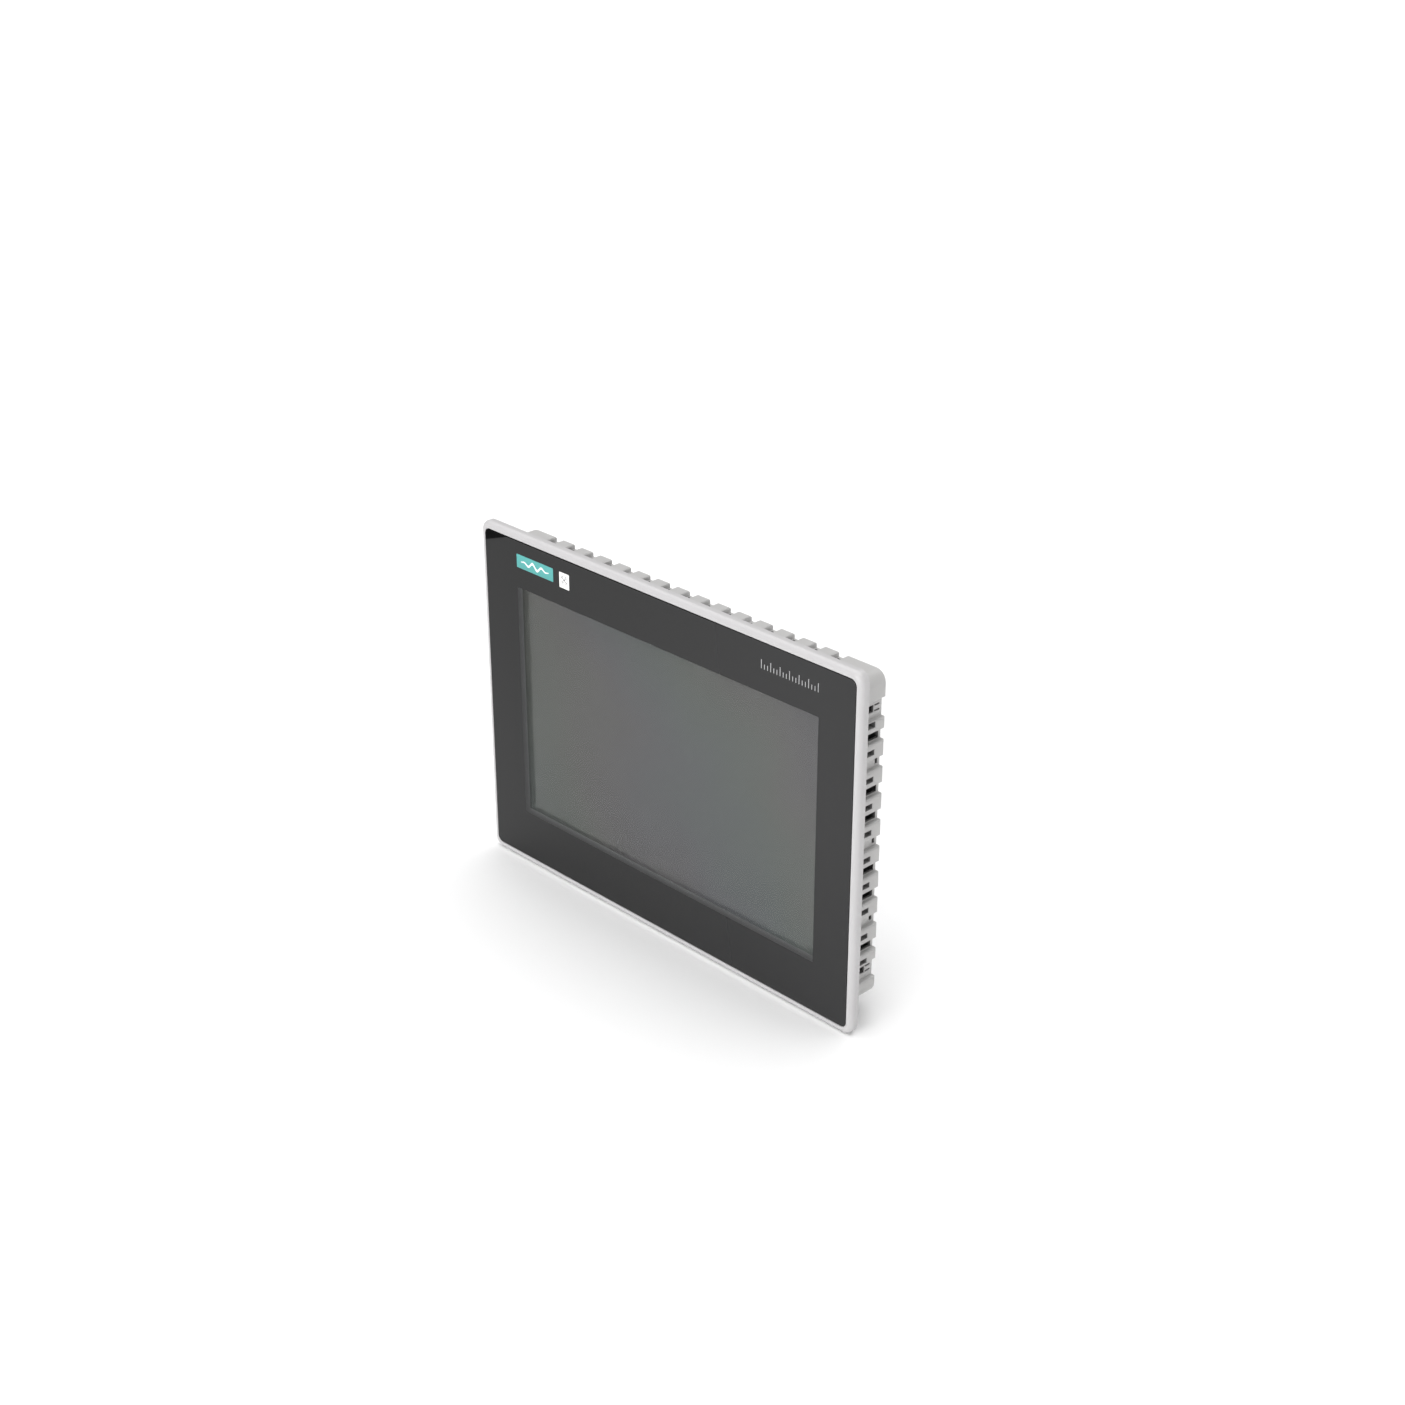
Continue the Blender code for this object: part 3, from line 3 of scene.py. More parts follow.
import bmesh
import bpy
import numpy as np
from bpy.props import FloatProperty, FloatVectorProperty, IntProperty, PointerProperty
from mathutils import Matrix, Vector


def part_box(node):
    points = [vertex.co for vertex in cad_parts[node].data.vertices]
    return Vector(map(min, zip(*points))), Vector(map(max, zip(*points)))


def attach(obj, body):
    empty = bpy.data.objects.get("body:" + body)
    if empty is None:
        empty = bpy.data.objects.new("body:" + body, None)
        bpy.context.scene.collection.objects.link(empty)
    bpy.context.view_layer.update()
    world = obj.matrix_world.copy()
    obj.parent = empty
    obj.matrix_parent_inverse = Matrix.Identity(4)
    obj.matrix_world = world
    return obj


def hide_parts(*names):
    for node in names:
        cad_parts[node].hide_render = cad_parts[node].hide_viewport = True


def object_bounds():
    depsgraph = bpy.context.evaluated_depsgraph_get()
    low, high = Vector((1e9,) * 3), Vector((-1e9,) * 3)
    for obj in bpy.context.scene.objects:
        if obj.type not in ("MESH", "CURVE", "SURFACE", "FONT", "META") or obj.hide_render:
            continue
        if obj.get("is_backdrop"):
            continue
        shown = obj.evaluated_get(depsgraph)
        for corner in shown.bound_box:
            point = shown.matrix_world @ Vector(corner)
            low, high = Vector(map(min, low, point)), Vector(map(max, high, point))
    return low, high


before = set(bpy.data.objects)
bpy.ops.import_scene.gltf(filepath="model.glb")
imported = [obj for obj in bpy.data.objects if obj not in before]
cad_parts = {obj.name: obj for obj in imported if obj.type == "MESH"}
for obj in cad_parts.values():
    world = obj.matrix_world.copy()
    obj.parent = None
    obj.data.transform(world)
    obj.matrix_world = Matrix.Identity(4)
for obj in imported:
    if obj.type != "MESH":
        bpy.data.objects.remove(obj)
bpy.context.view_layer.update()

bl_info = {
    "name": "Touch Operator Panel",
    "version": (1, 0, 0),
    "blender": (4, 5, 0),
    "location": "3D View > Sidebar > Operator Panel",
    "description": "Builds the finished look of a flush-mounted touch panel round its solid model",
    "category": "Object",
}

MM = 0.001
BODY = "panel"
CORNER_STEPS = 16
FILLET_STEPS = 6
GAP = 0.3 * MM
SHORTEST_EDGE = 0.45 * MM       # shorter edges of a solid stay sharp
HOUSING_SKIN = 3.3 * MM         # the housing's edges are rounded down to this depth below its sides
HAIR = 0.03 * MM                # edge radius of printed and glued foils


# ---------------------------------------------------------------- shapes

def measured(node):
    """Low corner, high corner and middle of a solid's box."""
    low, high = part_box(node)
    return low, high, tuple((start + end) / 2 for start, end in zip(low, high))


def quarter(radius, steps=FILLET_STEPS):
    """A quarter of a fillet as two rows: how far it is set in, r (1 - cos t), and how far it has gone
    along, r sin t."""
    turn = np.linspace(0.0, np.pi / 2, steps + 1)
    return np.stack([radius * (1 - np.cos(turn)), radius * np.sin(turn)])


def rounded_rings(half_width, half_height, radius, depth, centre=(0.0, 0.0)):
    """Rounded rectangles across Y, one for each depth: each corner is a quarter circle of its radius
    about a centre that is one radius in from both sides, and the four arcs in turn make the ring."""
    turn = np.arange(4)[:, None] * np.pi / 2 + np.linspace(0, np.pi / 2, CORNER_STEPS + 1)
    arc = np.stack([np.cos(turn), np.sin(turn)], -1)
    corner = np.array([(1, 1), (-1, 1), (-1, -1), (1, -1)])[:, None]
    half_width, half_height, radius, depth = np.broadcast_arrays(*(np.atleast_1d(np.asarray(row,
        float)) for row in (half_width, half_height, radius, depth)))
    size = np.stack([half_width, half_height], -1)[:, None, None]
    bend = radius[:, None, None, None]
    flat = (corner * (size - bend) + bend * arc).reshape(len(depth), -1, 2) + np.asarray(centre)
    return np.stack([flat[..., 0], np.broadcast_to(depth[:, None], flat.shape[:2]), flat[..., 1]], -1)


def turned_rings(radius, along, centre, axis=1, steps=32):
    """Circles about an axis through centre, one for each radius and place along the axis. Where an array
    of radii for each angle is given, the ring follows it."""
    turn = np.linspace(0, 2 * np.pi, steps, endpoint=False)
    radius = np.asarray(radius, float)
    radius = radius[:, None] if radius.ndim == 1 else radius
    along = np.asarray(along, float)
    along = along[:, None] if along.ndim == 1 else along
    across, up = radius * np.cos(turn), radius * np.sin(turn)
    along = np.broadcast_to(along, across.shape)
    order = {0: (along, across, up), 1: (across, along, up), 2: (across, up, along)}[axis]
    return np.stack(order, -1) + np.asarray(centre, float)


def grid_faces(rows, columns, close_rows=False):
    """The quads between neighbouring points of a grid whose columns run all the way round."""
    row = np.arange(rows if close_rows else rows - 1)[:, None] * columns
    above = (row + columns) % (rows * columns)
    here = np.arange(columns)
    after = (here + 1) % columns
    quads = np.stack([row + here, row + after, above + after, above + here], -1)
    return quads.reshape(-1, 4).tolist()


def skinned(rings, closed=False):
    """Points and faces of a skin over rings; the ends get a flat cap unless the rings close up."""
    rows, columns = rings.shape[:2]
    faces = grid_faces(rows, columns, closed)
    if not closed:
        last = (rows - 1) * columns
        faces += [list(range(columns))[::-1], list(range(last, last + columns))]
    return rings.reshape(-1, 3), faces


def swept(outline, path, side, lift):
    """A closed outline carried along a path: each of its points stands off the path by its first number
    times the side vector and its second times the lift vector at that place."""
    outline = np.asarray(outline, float)
    return path[:, None] + outline[None, :, :1] * side[:, None] + outline[None, :, 1:] * lift[:, None]


def merged(*shapes):
    """Several shapes as one set of points and faces."""
    points, faces, start = [], [], 0
    for some, polygons in shapes:
        points.append(some)
        faces += [[spot + start for spot in face] for face in polygons]
        start += len(some)
    return np.concatenate(points), faces


def soft_block(low, high, edge, corner=None, axis=1):
    """A block between two corners whose sides are rounded by corner and whose two ends are rounded by
    edge: rings of a rounded rectangle that draw in over each end like a quarter circle."""
    low, high = np.asarray(low, float), np.asarray(high, float)
    order = {0: (1, 0, 2), 1: (0, 1, 2), 2: (0, 2, 1)}[axis]
    size, middle = (high - low)[list(order)], ((high + low) / 2)[list(order)]
    corner = edge if corner is None else corner
    inset, rise = quarter(edge, 3)
    inset = np.concatenate([inset[::-1], inset])
    depth = np.concatenate([edge - rise[::-1], size[1] - edge + rise]) - size[1] / 2 + middle[1]
    bend = np.maximum(corner - inset, edge / 50)
    rings = rounded_rings(size[0] / 2 - inset, size[2] / 2 - inset, bend, depth,
        (middle[0], middle[2]))[:, ::4]
    return skinned(rings[..., list(np.argsort(order))])


def placed(name, shape, finish, replaces=(), slot=None, body=BODY, sharp=35.0, weighted=True):
    """Makes a piece from points and faces, turns its faces outwards, shades it and puts it on its
    body."""
    points, faces = shape
    mesh = bpy.data.meshes.new(name)
    mesh.from_pydata(np.asarray(points, float).tolist(), [], faces)
    work = bmesh.new()
    work.from_mesh(mesh)
    bmesh.ops.recalc_face_normals(work, faces=work.faces)
    work.to_mesh(mesh)
    work.free()
    return dressed(bpy.data.objects.new(name, mesh), finish, replaces, slot, body, sharp, weighted)


def dressed(piece, finish, replaces, slot, body, sharp, weighted):
    """Links a piece into the scene with its finish, its shading and its place in the frame."""
    bpy.context.scene.collection.objects.link(piece)
    piece.data.materials.append(finish)
    piece.data.shade_smooth()
    piece.data.set_sharp_from_angle(angle=math.radians(sharp))
    if weighted:
        shading = piece.modifiers.new("even_shading", "WEIGHTED_NORMAL")
        shading.keep_sharp = True
    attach(piece, body)
    if replaces:
        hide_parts(*replaces)
    return piece


def softened(name, node, width, finish, slot=None, body=BODY, keep=None, turn=50.0, sharp=28.0,
        split=False):
    """A merged copy of a solid whose sharp edges are rounded over; keep picks edges by their two ends,
    and split cuts faces of many corners into triangles first, which keeps large pierced walls sound."""
    work = bmesh.new()
    work.from_mesh(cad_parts[node].data)
    bmesh.ops.remove_doubles(work, verts=work.verts, dist=1e-6)
    bmesh.ops.dissolve_limit(work, angle_limit=math.radians(0.5), verts=work.verts, edges=work.edges,
        delimit={"NORMAL"})
    if split:
        bmesh.ops.triangulate(work, faces=[face for face in work.faces if len(face.verts) > 4])
    edges = [edge for edge in work.edges if edge.calc_face_angle(0.0) > math.radians(turn) and
        edge.calc_length() > SHORTEST_EDGE and (keep is None or all(keep(end.co) for end in edge.verts))]
    bmesh.ops.bevel(work, geom=edges, offset=width, offset_type="OFFSET", segments=2, profile=0.5,
        affect="EDGES", clamp_overlap=False, loop_slide=True)
    mesh = bpy.data.meshes.new(name)
    work.to_mesh(mesh)
    work.free()
    return dressed(bpy.data.objects.new(name, mesh), finish, (node,), slot, body, sharp, True)


# ---------------------------------------------------------------- finishes

class Wire:
    """One output of a material's nodes. Arithmetic on it adds the Math nodes that work it out."""

    def __init__(self, paint, socket):
        self.paint = paint
        self.socket = socket

    def maths(self, operation, *terms):
        return self.paint.node("ShaderNodeMath", {"operation": operation}, *terms)

    def __add__(self, other):
        return self.maths("ADD", self, other)

    __radd__ = __add__

    def __sub__(self, other):
        return self.maths("SUBTRACT", self, other)

    def __rsub__(self, other):
        return self.maths("SUBTRACT", other, self)

    def __mul__(self, other):
        return self.maths("MULTIPLY", self, other)

    __rmul__ = __mul__

    def __truediv__(self, other):
        return self.maths("DIVIDE", self, other)

    def __mod__(self, other):
        return self.maths("FLOORED_MODULO", self, other)

    def __lt__(self, other):
        return self.maths("LESS_THAN", self, other)

    def __gt__(self, other):
        return self.maths("GREATER_THAN", self, other)

    def __abs__(self):
        return self.maths("ABSOLUTE", self)

    def sine(self):
        return self.maths("SINE", self)

    def least(self, other):
        return self.maths("MINIMUM", self, other)

    def most(self, other):
        return self.maths("MAXIMUM", self, other)

    def limited(self):
        """Held between 0 and 1."""
        return self.paint.node("ShaderNodeMath", {"operation": "ADD", "use_clamp": True}, self, 0.0)


class Paint:
    """A material being mixed: makes its nodes, one method for every kind."""

    def __init__(self, name):
        self.material = bpy.data.materials.new(name)
        self.material.use_nodes = True
        self.tree = self.material.node_tree
        self.shader = self.tree.nodes["Principled BSDF"]
        self.coordinates = self.node("ShaderNodeTexCoord", output="Object")

    def node(self, kind, settings=None, *values, output=0, **named):
        """Adds a node: its settings are set first, then its sockets in order, then the named ones. A
        value of None leaves its socket alone."""
        made = self.tree.nodes.new(kind)
        for key, value in (settings or {}).items():
            setattr(made, key, value)
        for spot, value in list(enumerate(values)) + list(named.items()):
            key = spot.replace("_", " ") if isinstance(spot, str) else spot
            if value is not None:
                self.feed(made.inputs[key], value)
        return Wire(self, made.outputs[output])

    def feed(self, socket, value):
        """Links a wire to a socket, or sets the socket to a value."""
        if isinstance(value, Wire):
            self.tree.links.new(value.socket, socket)
        elif isinstance(value, (tuple, list)) and len(value) == 3 and len(socket.default_value) == 4:
            socket.default_value = (*value, 1.0)
        else:
            socket.default_value = value

    def place(self):
        """The three object coordinates, in metres."""
        split = self.node("ShaderNodeSeparateXYZ", None, self.coordinates).socket.node
        return [Wire(self, socket) for socket in split.outputs]

    def noise(self, scale, detail=2.0, stretch=None):
        """Cloudy noise from 0 to 1, with scale features to the metre; stretch scales each axis."""
        where = self.coordinates
        if stretch:
            where = self.node("ShaderNodeMapping", None, where, Scale=stretch)
        return self.node("ShaderNodeTexNoise", None, Vector=where, Scale=scale, Detail=detail)

    def blend(self, share, first, second, kind="MIX"):
        """A colour between two, by share; the mixing node's colours are its sockets 6 and 7."""
        unused = [None] * 5
        return self.node("ShaderNodeMix", {"data_type": "RGBA", "blend_type": kind}, share, *unused,
            first, second, output=2)

    def bump(self, height, strength, depth):
        """The shading normal of a surface that stands up by height times depth."""
        return self.node("ShaderNodeBump", None, Height=height, Strength=strength, Distance=depth,
            output="Normal")

    def finish(self, **sockets):
        """Feeds the shader's sockets, each named with underscores for blanks, and gives the material."""
        for key, value in sockets.items():
            self.feed(self.shader.inputs[key.replace("_", " ")], value)
        return self.material


def shaded(colour, factor):
    """The colour times factor, no part of it above 1."""
    return tuple(min(1.0, part * factor) for part in colour)


def grained(name, colour, roughness, grain=2600.0, depth=0.03 * MM, strength=0.35, spread=0.03,
        coat=0.0):
    """Moulded or coated stock: a fine grain, a faint cloudiness of tone and a patchy gloss."""
    paint = Paint(name)
    cloud = paint.noise(28.0, 3.0)
    speck = paint.noise(grain, 3.0)
    tone = paint.blend(cloud, shaded(colour, 1 - spread), shaded(colour, 1 + spread))
    tone = paint.blend(speck * 0.3, tone, shaded(colour, 0.93))
    gloss = roughness + (paint.noise(240.0, 2.0) - 0.5) * 0.14
    return paint.finish(Base_Color=tone, Roughness=gloss, Normal=paint.bump(speck, strength, depth),
        Coat_Weight=coat, Coat_Roughness=0.2)


def metal(name, colour, roughness, stretch):
    """Bare or plated metal: fine drawn lines along the least stretched axis, and a cloudy tarnish."""
    paint = Paint(name)
    lines = paint.noise(900.0, 2.0, stretch)
    cloud = paint.noise(60.0, 3.0)
    tone = paint.blend(cloud, shaded(colour, 0.94), shaded(colour, 1.06))
    gloss = roughness + (lines - 0.5) * 0.2 + (cloud - 0.5) * 0.1
    return paint.finish(Base_Color=tone, Roughness=gloss, Metallic=1.0,
        Normal=paint.bump(lines, 0.25, 0.01 * MM))


def printed_glass(name, window, front):
    """Cover glass with a black print round a clear window. The window widens with depth, so that the
    print belongs to the front face. The black print is painted paler to the right and downwards, a
    painted light falloff across the glass. The pane lets all light through; the bonded display behind it
    mirrors instead."""
    paint = Paint(name)
    x, y, z = paint.place()
    reach = (y - front) * 3.0
    left, right, bottom, top = window
    clear = (x > left - reach) * (x < reach + right) * (z > bottom - reach) * (z < reach + top)
    smudge = paint.noise(7.0, 3.0)
    dust = paint.noise(900.0, 2.0)
    gloss = 0.008 + smudge * 0.012 + dust * 0.006
    # painted light falloff: across and pale lighten the black print towards the right and the bottom
    across = ((x - left) / (right - left)).limited()
    pale = (across + 0.25 * (1.0 - across) * ((top - z) / (top - bottom)).limited()).limited()
    ink = paint.blend(smudge, (0.0015, 0.0015, 0.0017), (0.0025, 0.0025, 0.0027))
    tone = paint.blend(pale, ink, (0.018, 0.018, 0.0185))
    paint.finish(Base_Color=tone, Roughness=gloss, IOR=1.36)
    pane = paint.node("ShaderNodeBsdfTransparent", None, (0.985, 0.99, 0.985))
    whole = paint.node("ShaderNodeMixShader", None, clear, Wire(paint, paint.shader.outputs[0]), pane)
    paint.feed(paint.tree.nodes["Material Output"].inputs["Surface"], whole)
    return paint.material


def display_face(name, active, dark, light):
    """A display that is off: neutral grey painted lighter to the right and downwards as a painted light
    falloff, with very faint coloured bands across it where its layers interfere, and a darker margin
    outside the picture area. The margin sits in the shade of the print; it is given a painted glow that
    stands in for the faint light that scatters under the glass."""
    paint = Paint(name)
    x, _, z = paint.place()
    left, right, bottom, top = active
    # painted light falloff: share runs the grey from its darker end to its lighter end towards the right
    # and the bottom
    share = ((x - left) * (0.75 / (right - left)) + (top - z) * (0.25 / (top - bottom))).limited()
    tone = paint.blend(share, dark, light)
    phase = x * 34.0 + z * 26.0 + paint.noise(9.0, 2.0) * 7.0
    bands = [1.0 + (phase + turn).sine() * 0.035 for turn in (0.0, 2.1, 4.2)]
    tint = paint.node("ShaderNodeCombineColor", None, *bands)
    picture = paint.blend(1.0, tone, tint, "MULTIPLY")
    inside = (x > left) * (x < right) * (z > bottom) * (z < top)
    cloud = paint.noise(40.0, 2.0)
    margin = paint.blend(cloud, shaded(dark, 0.80), shaded(dark, 0.86))
    gloss = 0.034 + paint.noise(60.0, 2.0) * 0.006
    # painted glow: the margin outside the picture emits faint light in place of light scattered under
    # the glass
    painted_glow = paint.blend(inside, (0.075, 0.075, 0.077), (0.0, 0.0, 0.0))
    return paint.finish(Base_Color=paint.blend(inside, margin, picture), Roughness=gloss, IOR=1.36,
        Emission_Color=painted_glow, Emission_Strength=1.0)


def clear_film(name):
    """Thin clear film with a trace of cloud in its gloss."""
    paint = Paint(name)
    cloud = paint.noise(30.0, 2.0)
    tone = paint.blend(cloud, (0.42, 0.45, 0.46), (0.5, 0.52, 0.53))
    return paint.finish(Base_Color=tone, Roughness=0.1 + cloud * 0.1, Alpha=0.015)


def housing_finish(name, colour):
    """Coated casting with painted shade where its openings fall away into the dark: below the floor of
    the notches, below the back face, and inside the small vents, which repeat at the pitch of the
    notches along every side. These places are painted dark, more so with depth, in place of the shade
    that falls in them."""
    paint = Paint(name)
    sizes = bpy.context.scene.panel_sizes
    x, y, z = paint.place()
    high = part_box("rear_housing")[1]
    from_side, from_top = high[0] - abs(x), high[2] - abs(z)
    depth = from_side.least(from_top)
    post = (from_side < sizes.post_corner) * (from_top < sizes.post_corner)
    # painted shade: the inner faces below the notch floors and in front of the back face
    below = (depth > sizes.notch_depth + 0.25 * MM) * (y < sizes.housing_depth - 0.25 * MM)
    half = sizes.vent_pitch / 2
    along_top = abs((x - sizes.vent_shift_x) % sizes.vent_pitch - half) < sizes.vent_half
    along_side = abs((z - sizes.vent_shift_z) % sizes.vent_pitch - half) < sizes.vent_half
    on_top = from_top < from_side
    vent = on_top * along_top + (1.0 - on_top) * along_side
    vent = vent * (y > sizes.vent_start) * (y < sizes.vent_end) * (depth > 0.2 * MM)
    # painted shade mask: the openings' insides and the vents, less the screw corners
    dark = (below + vent).limited() * (1.0 - post)
    tone = paint.noise(28.0, 3.0)
    speck = paint.noise(2200.0, 3.0)
    coat = paint.blend(tone, shaded(colour, 0.97), shaded(colour, 1.03))
    coat = paint.blend(speck * 0.3, coat, shaded(colour, 0.93))
    # painted shade that deepens with depth below the notch floor
    inner = ((depth - sizes.notch_depth) * 300.0).limited()
    shade = paint.blend(inner, shaded(colour, 0.56), shaded(colour, 0.18))
    gloss = 0.46 + (paint.noise(240.0, 2.0) - 0.5) * 0.14 + dark * 0.3
    return paint.finish(Base_Color=paint.blend(dark, coat, shade), Roughness=gloss,
        Normal=paint.bump(speck, 0.35, 0.03 * MM))


def socket_finish(name, node):
    """Plated shell of a socket whose inside is black insulator: all that lies within the shell's skin
    and deeper than its rim."""
    paint = Paint(name)
    low, high, middle = measured(node)
    x, y, z = paint.place()
    reach = ((high[0] - low[0]) / 2 - 0.25 * MM, (high[1] - low[1]) / 2 - 0.25 * MM)
    inside = (abs(x - middle[0]) < reach[0]) * (abs(y - middle[1]) < reach[1]) * (z > low[2] + 0.3 * MM)
    cloud = paint.noise(60.0, 3.0)
    lines = paint.noise(900.0, 2.0)
    plate = paint.blend(cloud, (0.62, 0.63, 0.65), (0.70, 0.71, 0.73))
    tone = paint.blend(inside, plate, (0.02, 0.02, 0.021))
    gloss = 0.28 + lines * 0.12 + inside * 0.2
    return paint.finish(Base_Color=tone, Roughness=gloss, Metallic=1.0 - inside,
        Normal=paint.bump(lines, 0.2, 0.01 * MM))


def terminal_finish(name, node):
    """Green moulding with three tinned pins standing along the middle of its mouth."""
    paint = Paint(name)
    low, _, middle = measured(node)
    x, y, z = paint.place()
    pitch = 5.08 * MM
    across = x - middle[0]
    pin = (abs((across + pitch * 1.5) % pitch - pitch / 2) < 0.65 * MM) * (abs(across) < pitch * 1.3)
    pin = pin * (abs(y - middle[1]) < 0.65 * MM) * (z > low[2] + 1.0 * MM)
    cloud = paint.noise(40.0, 3.0)
    speck = paint.noise(2400.0, 2.0)
    green = paint.blend(cloud, (0.040, 0.28, 0.11), (0.05, 0.32, 0.13))
    tone = paint.blend(pin, green, (0.72, 0.71, 0.68))
    return paint.finish(Base_Color=tone, Roughness=0.42 + speck * 0.1 - pin * 0.15, Metallic=pin,
        Normal=paint.bump(speck, 0.25, 0.02 * MM))


def board_finish(name):
    """Solder mask over copper: fine parallel tracks in two directions whose place changes in patches,
    and rows of small pads."""
    paint = Paint(name)
    x, _, z = paint.place()
    patch = paint.node("ShaderNodeTexVoronoi", None, Vector=paint.coordinates, Scale=90.0,
        output="Color")
    pick = paint.node("ShaderNodeSeparateColor", None, patch)
    upright = pick > 0.5
    across = upright * x + (1.0 - upright) * z
    pitch, width = 1.2 * MM, 0.42 * MM
    track = ((across % pitch) < width) * ((pick * 7.0 % 1.0) > 0.35)
    column, row, reach = 4.6 * MM, 5.8 * MM, 0.4 * MM
    pad = (abs((x % column) - column / 2) < reach) * (abs((z % row) - row / 2) < reach)
    mask = paint.blend(track, (0.012, 0.115, 0.052), (0.02, 0.19, 0.085))
    tone = paint.blend(pad, mask, (0.55, 0.5, 0.38))
    gloss = 0.38 - pad * 0.1 + paint.noise(300.0) * 0.1
    return paint.finish(Base_Color=tone, Roughness=gloss, Normal=paint.bump(track + pad, 0.4, 0.03 * MM))


def ribbon_finish(name):
    """Flat cable: amber film with a fine row of conductors along it."""
    paint = Paint(name)
    x, _, _ = paint.place()
    pitch = 0.8 * MM
    wire = (x % pitch) < pitch / 2
    film = paint.noise(50.0, 2.0)
    tone = paint.blend(wire, (0.36, 0.15, 0.03), (0.62, 0.30, 0.08))
    tone = paint.blend(film * 0.3, tone, (0.28, 0.12, 0.03))
    return paint.finish(Base_Color=tone, Roughness=0.3 + film * 0.15,
        Normal=paint.bump(wire, 0.3, 0.05 * MM))


def plate_finish(name, low, high):
    """A silvered type plate: a hairline frame, two ruled blank fields and a row of blank boxes."""
    paint = Paint(name)
    x, _, z = paint.place()
    across = (x - low[0]) / (high[0] - low[0])
    up = (z - low[2]) / (high[2] - low[2])
    edge = abs(across - 0.5).most(abs(up - 0.5))
    border = (edge > 0.462) * (edge < 0.472)
    rows = ((up % 0.11) < 0.012) * (abs(up - 0.60) < 0.27) * (abs(across - 0.30) < 0.22)
    box_across = abs((across % 0.145) - 0.0725)
    box_up = abs(up - 0.18)
    boxes = (box_across < 0.055) * (box_up < 0.085) * (1.0 - (box_across < 0.050) * (box_up < 0.077))
    boxes = boxes * (abs(across - 0.5) < 0.435)
    square = (abs(across - 0.78) < 0.13) * (abs(up - 0.62) < 0.21)
    square = square * (1.0 - (abs(across - 0.78) < 0.124) * (abs(up - 0.62) < 0.20))
    ink = (border + rows + boxes + square).limited()
    foil = paint.noise(700.0, 2.0, (1.0, 1.0, 14.0))
    silver = paint.blend(foil, (0.60, 0.61, 0.62), (0.70, 0.71, 0.72))
    gloss = 0.34 + foil * 0.1 + ink * 0.2
    return paint.finish(Base_Color=paint.blend(ink, silver, (0.05, 0.05, 0.055)), Roughness=gloss,
        Metallic=0.55 - ink * 0.5)


def rubber_finish(name):
    """Matt black foam rubber with fine open pores."""
    paint = Paint(name)
    pore = paint.node("ShaderNodeTexVoronoi", None, Vector=paint.coordinates, Scale=2200.0,
        output="Distance")
    tone = paint.blend(paint.noise(60.0, 3.0), (0.012, 0.012, 0.013), (0.026, 0.026, 0.027))
    return paint.finish(Base_Color=tone, Roughness=0.75 + pore * 0.2,
        Normal=paint.bump(pore, 0.4, 0.05 * MM))


def printed_badge(name, colour):
    """Badge foil: an even enamel colour with a slight vertical fade and a fine speckle."""
    paint = Paint(name)
    low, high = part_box("badge_plate")
    _, _, z = paint.place()
    fade = ((z - low[2]) / (high[2] - low[2])).limited()
    speck = paint.noise(1800.0, 2.0)
    tone = paint.blend(fade, shaded(colour, 0.92), shaded(colour, 1.06))
    tone = paint.blend(speck * 0.2, tone, shaded(colour, 0.85))
    return paint.finish(Base_Color=tone, Roughness=0.3 + speck * 0.1)


def window_limits():
    """Left, right, bottom and top of the clear window in the glass."""
    sizes = bpy.context.scene.panel_sizes
    low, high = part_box("front_glass")
    return (low[0] + sizes.border_left, high[0] - sizes.border_right, low[2] + sizes.border_bottom,
        high[2] - sizes.border_top)


def picture_limits():
    """Left, right, bottom and top of the display's picture area; it ends under the print but at the left
    and the bottom, where a thin margin shows."""
    left, right, bottom, top = window_limits()
    return left - 0.5 * MM, right + 2.0 * MM, bottom + 0.6 * MM, top + 2.0 * MM


# Moulded, printed and inked stock: colour, roughness, grain, strength of the grain, spread of tone
STOCK = {
    "pale_ink": ((0.78, 0.82, 0.82), 0.4, 1800.0, 0.15, 0.03),
    "label_paper": ((0.86, 0.86, 0.85), 0.5, 1600.0, 0.2, 0.03),
    "label_ink": ((0.16, 0.16, 0.17), 0.5, 1600.0, 0.2, 0.03),
    "mark_ink": ((0.40, 0.40, 0.41), 0.42, 1800.0, 0.15, 0.03),
    "chip_resin": ((0.022, 0.022, 0.024), 0.5, 3000.0, 0.35, 0.12),
    "black_moulding": ((0.026, 0.026, 0.027), 0.48, 2400.0, 0.35, 0.1),
    "white_moulding": ((0.74, 0.74, 0.72), 0.45, 2400.0, 0.35, 0.03),
    "amber_lens": ((0.62, 0.33, 0.05), 0.22, 2400.0, 0.35, 0.08),
    "lamp_lens": ((0.25, 0.42, 0.12), 0.25, 2400.0, 0.35, 0.08),
}
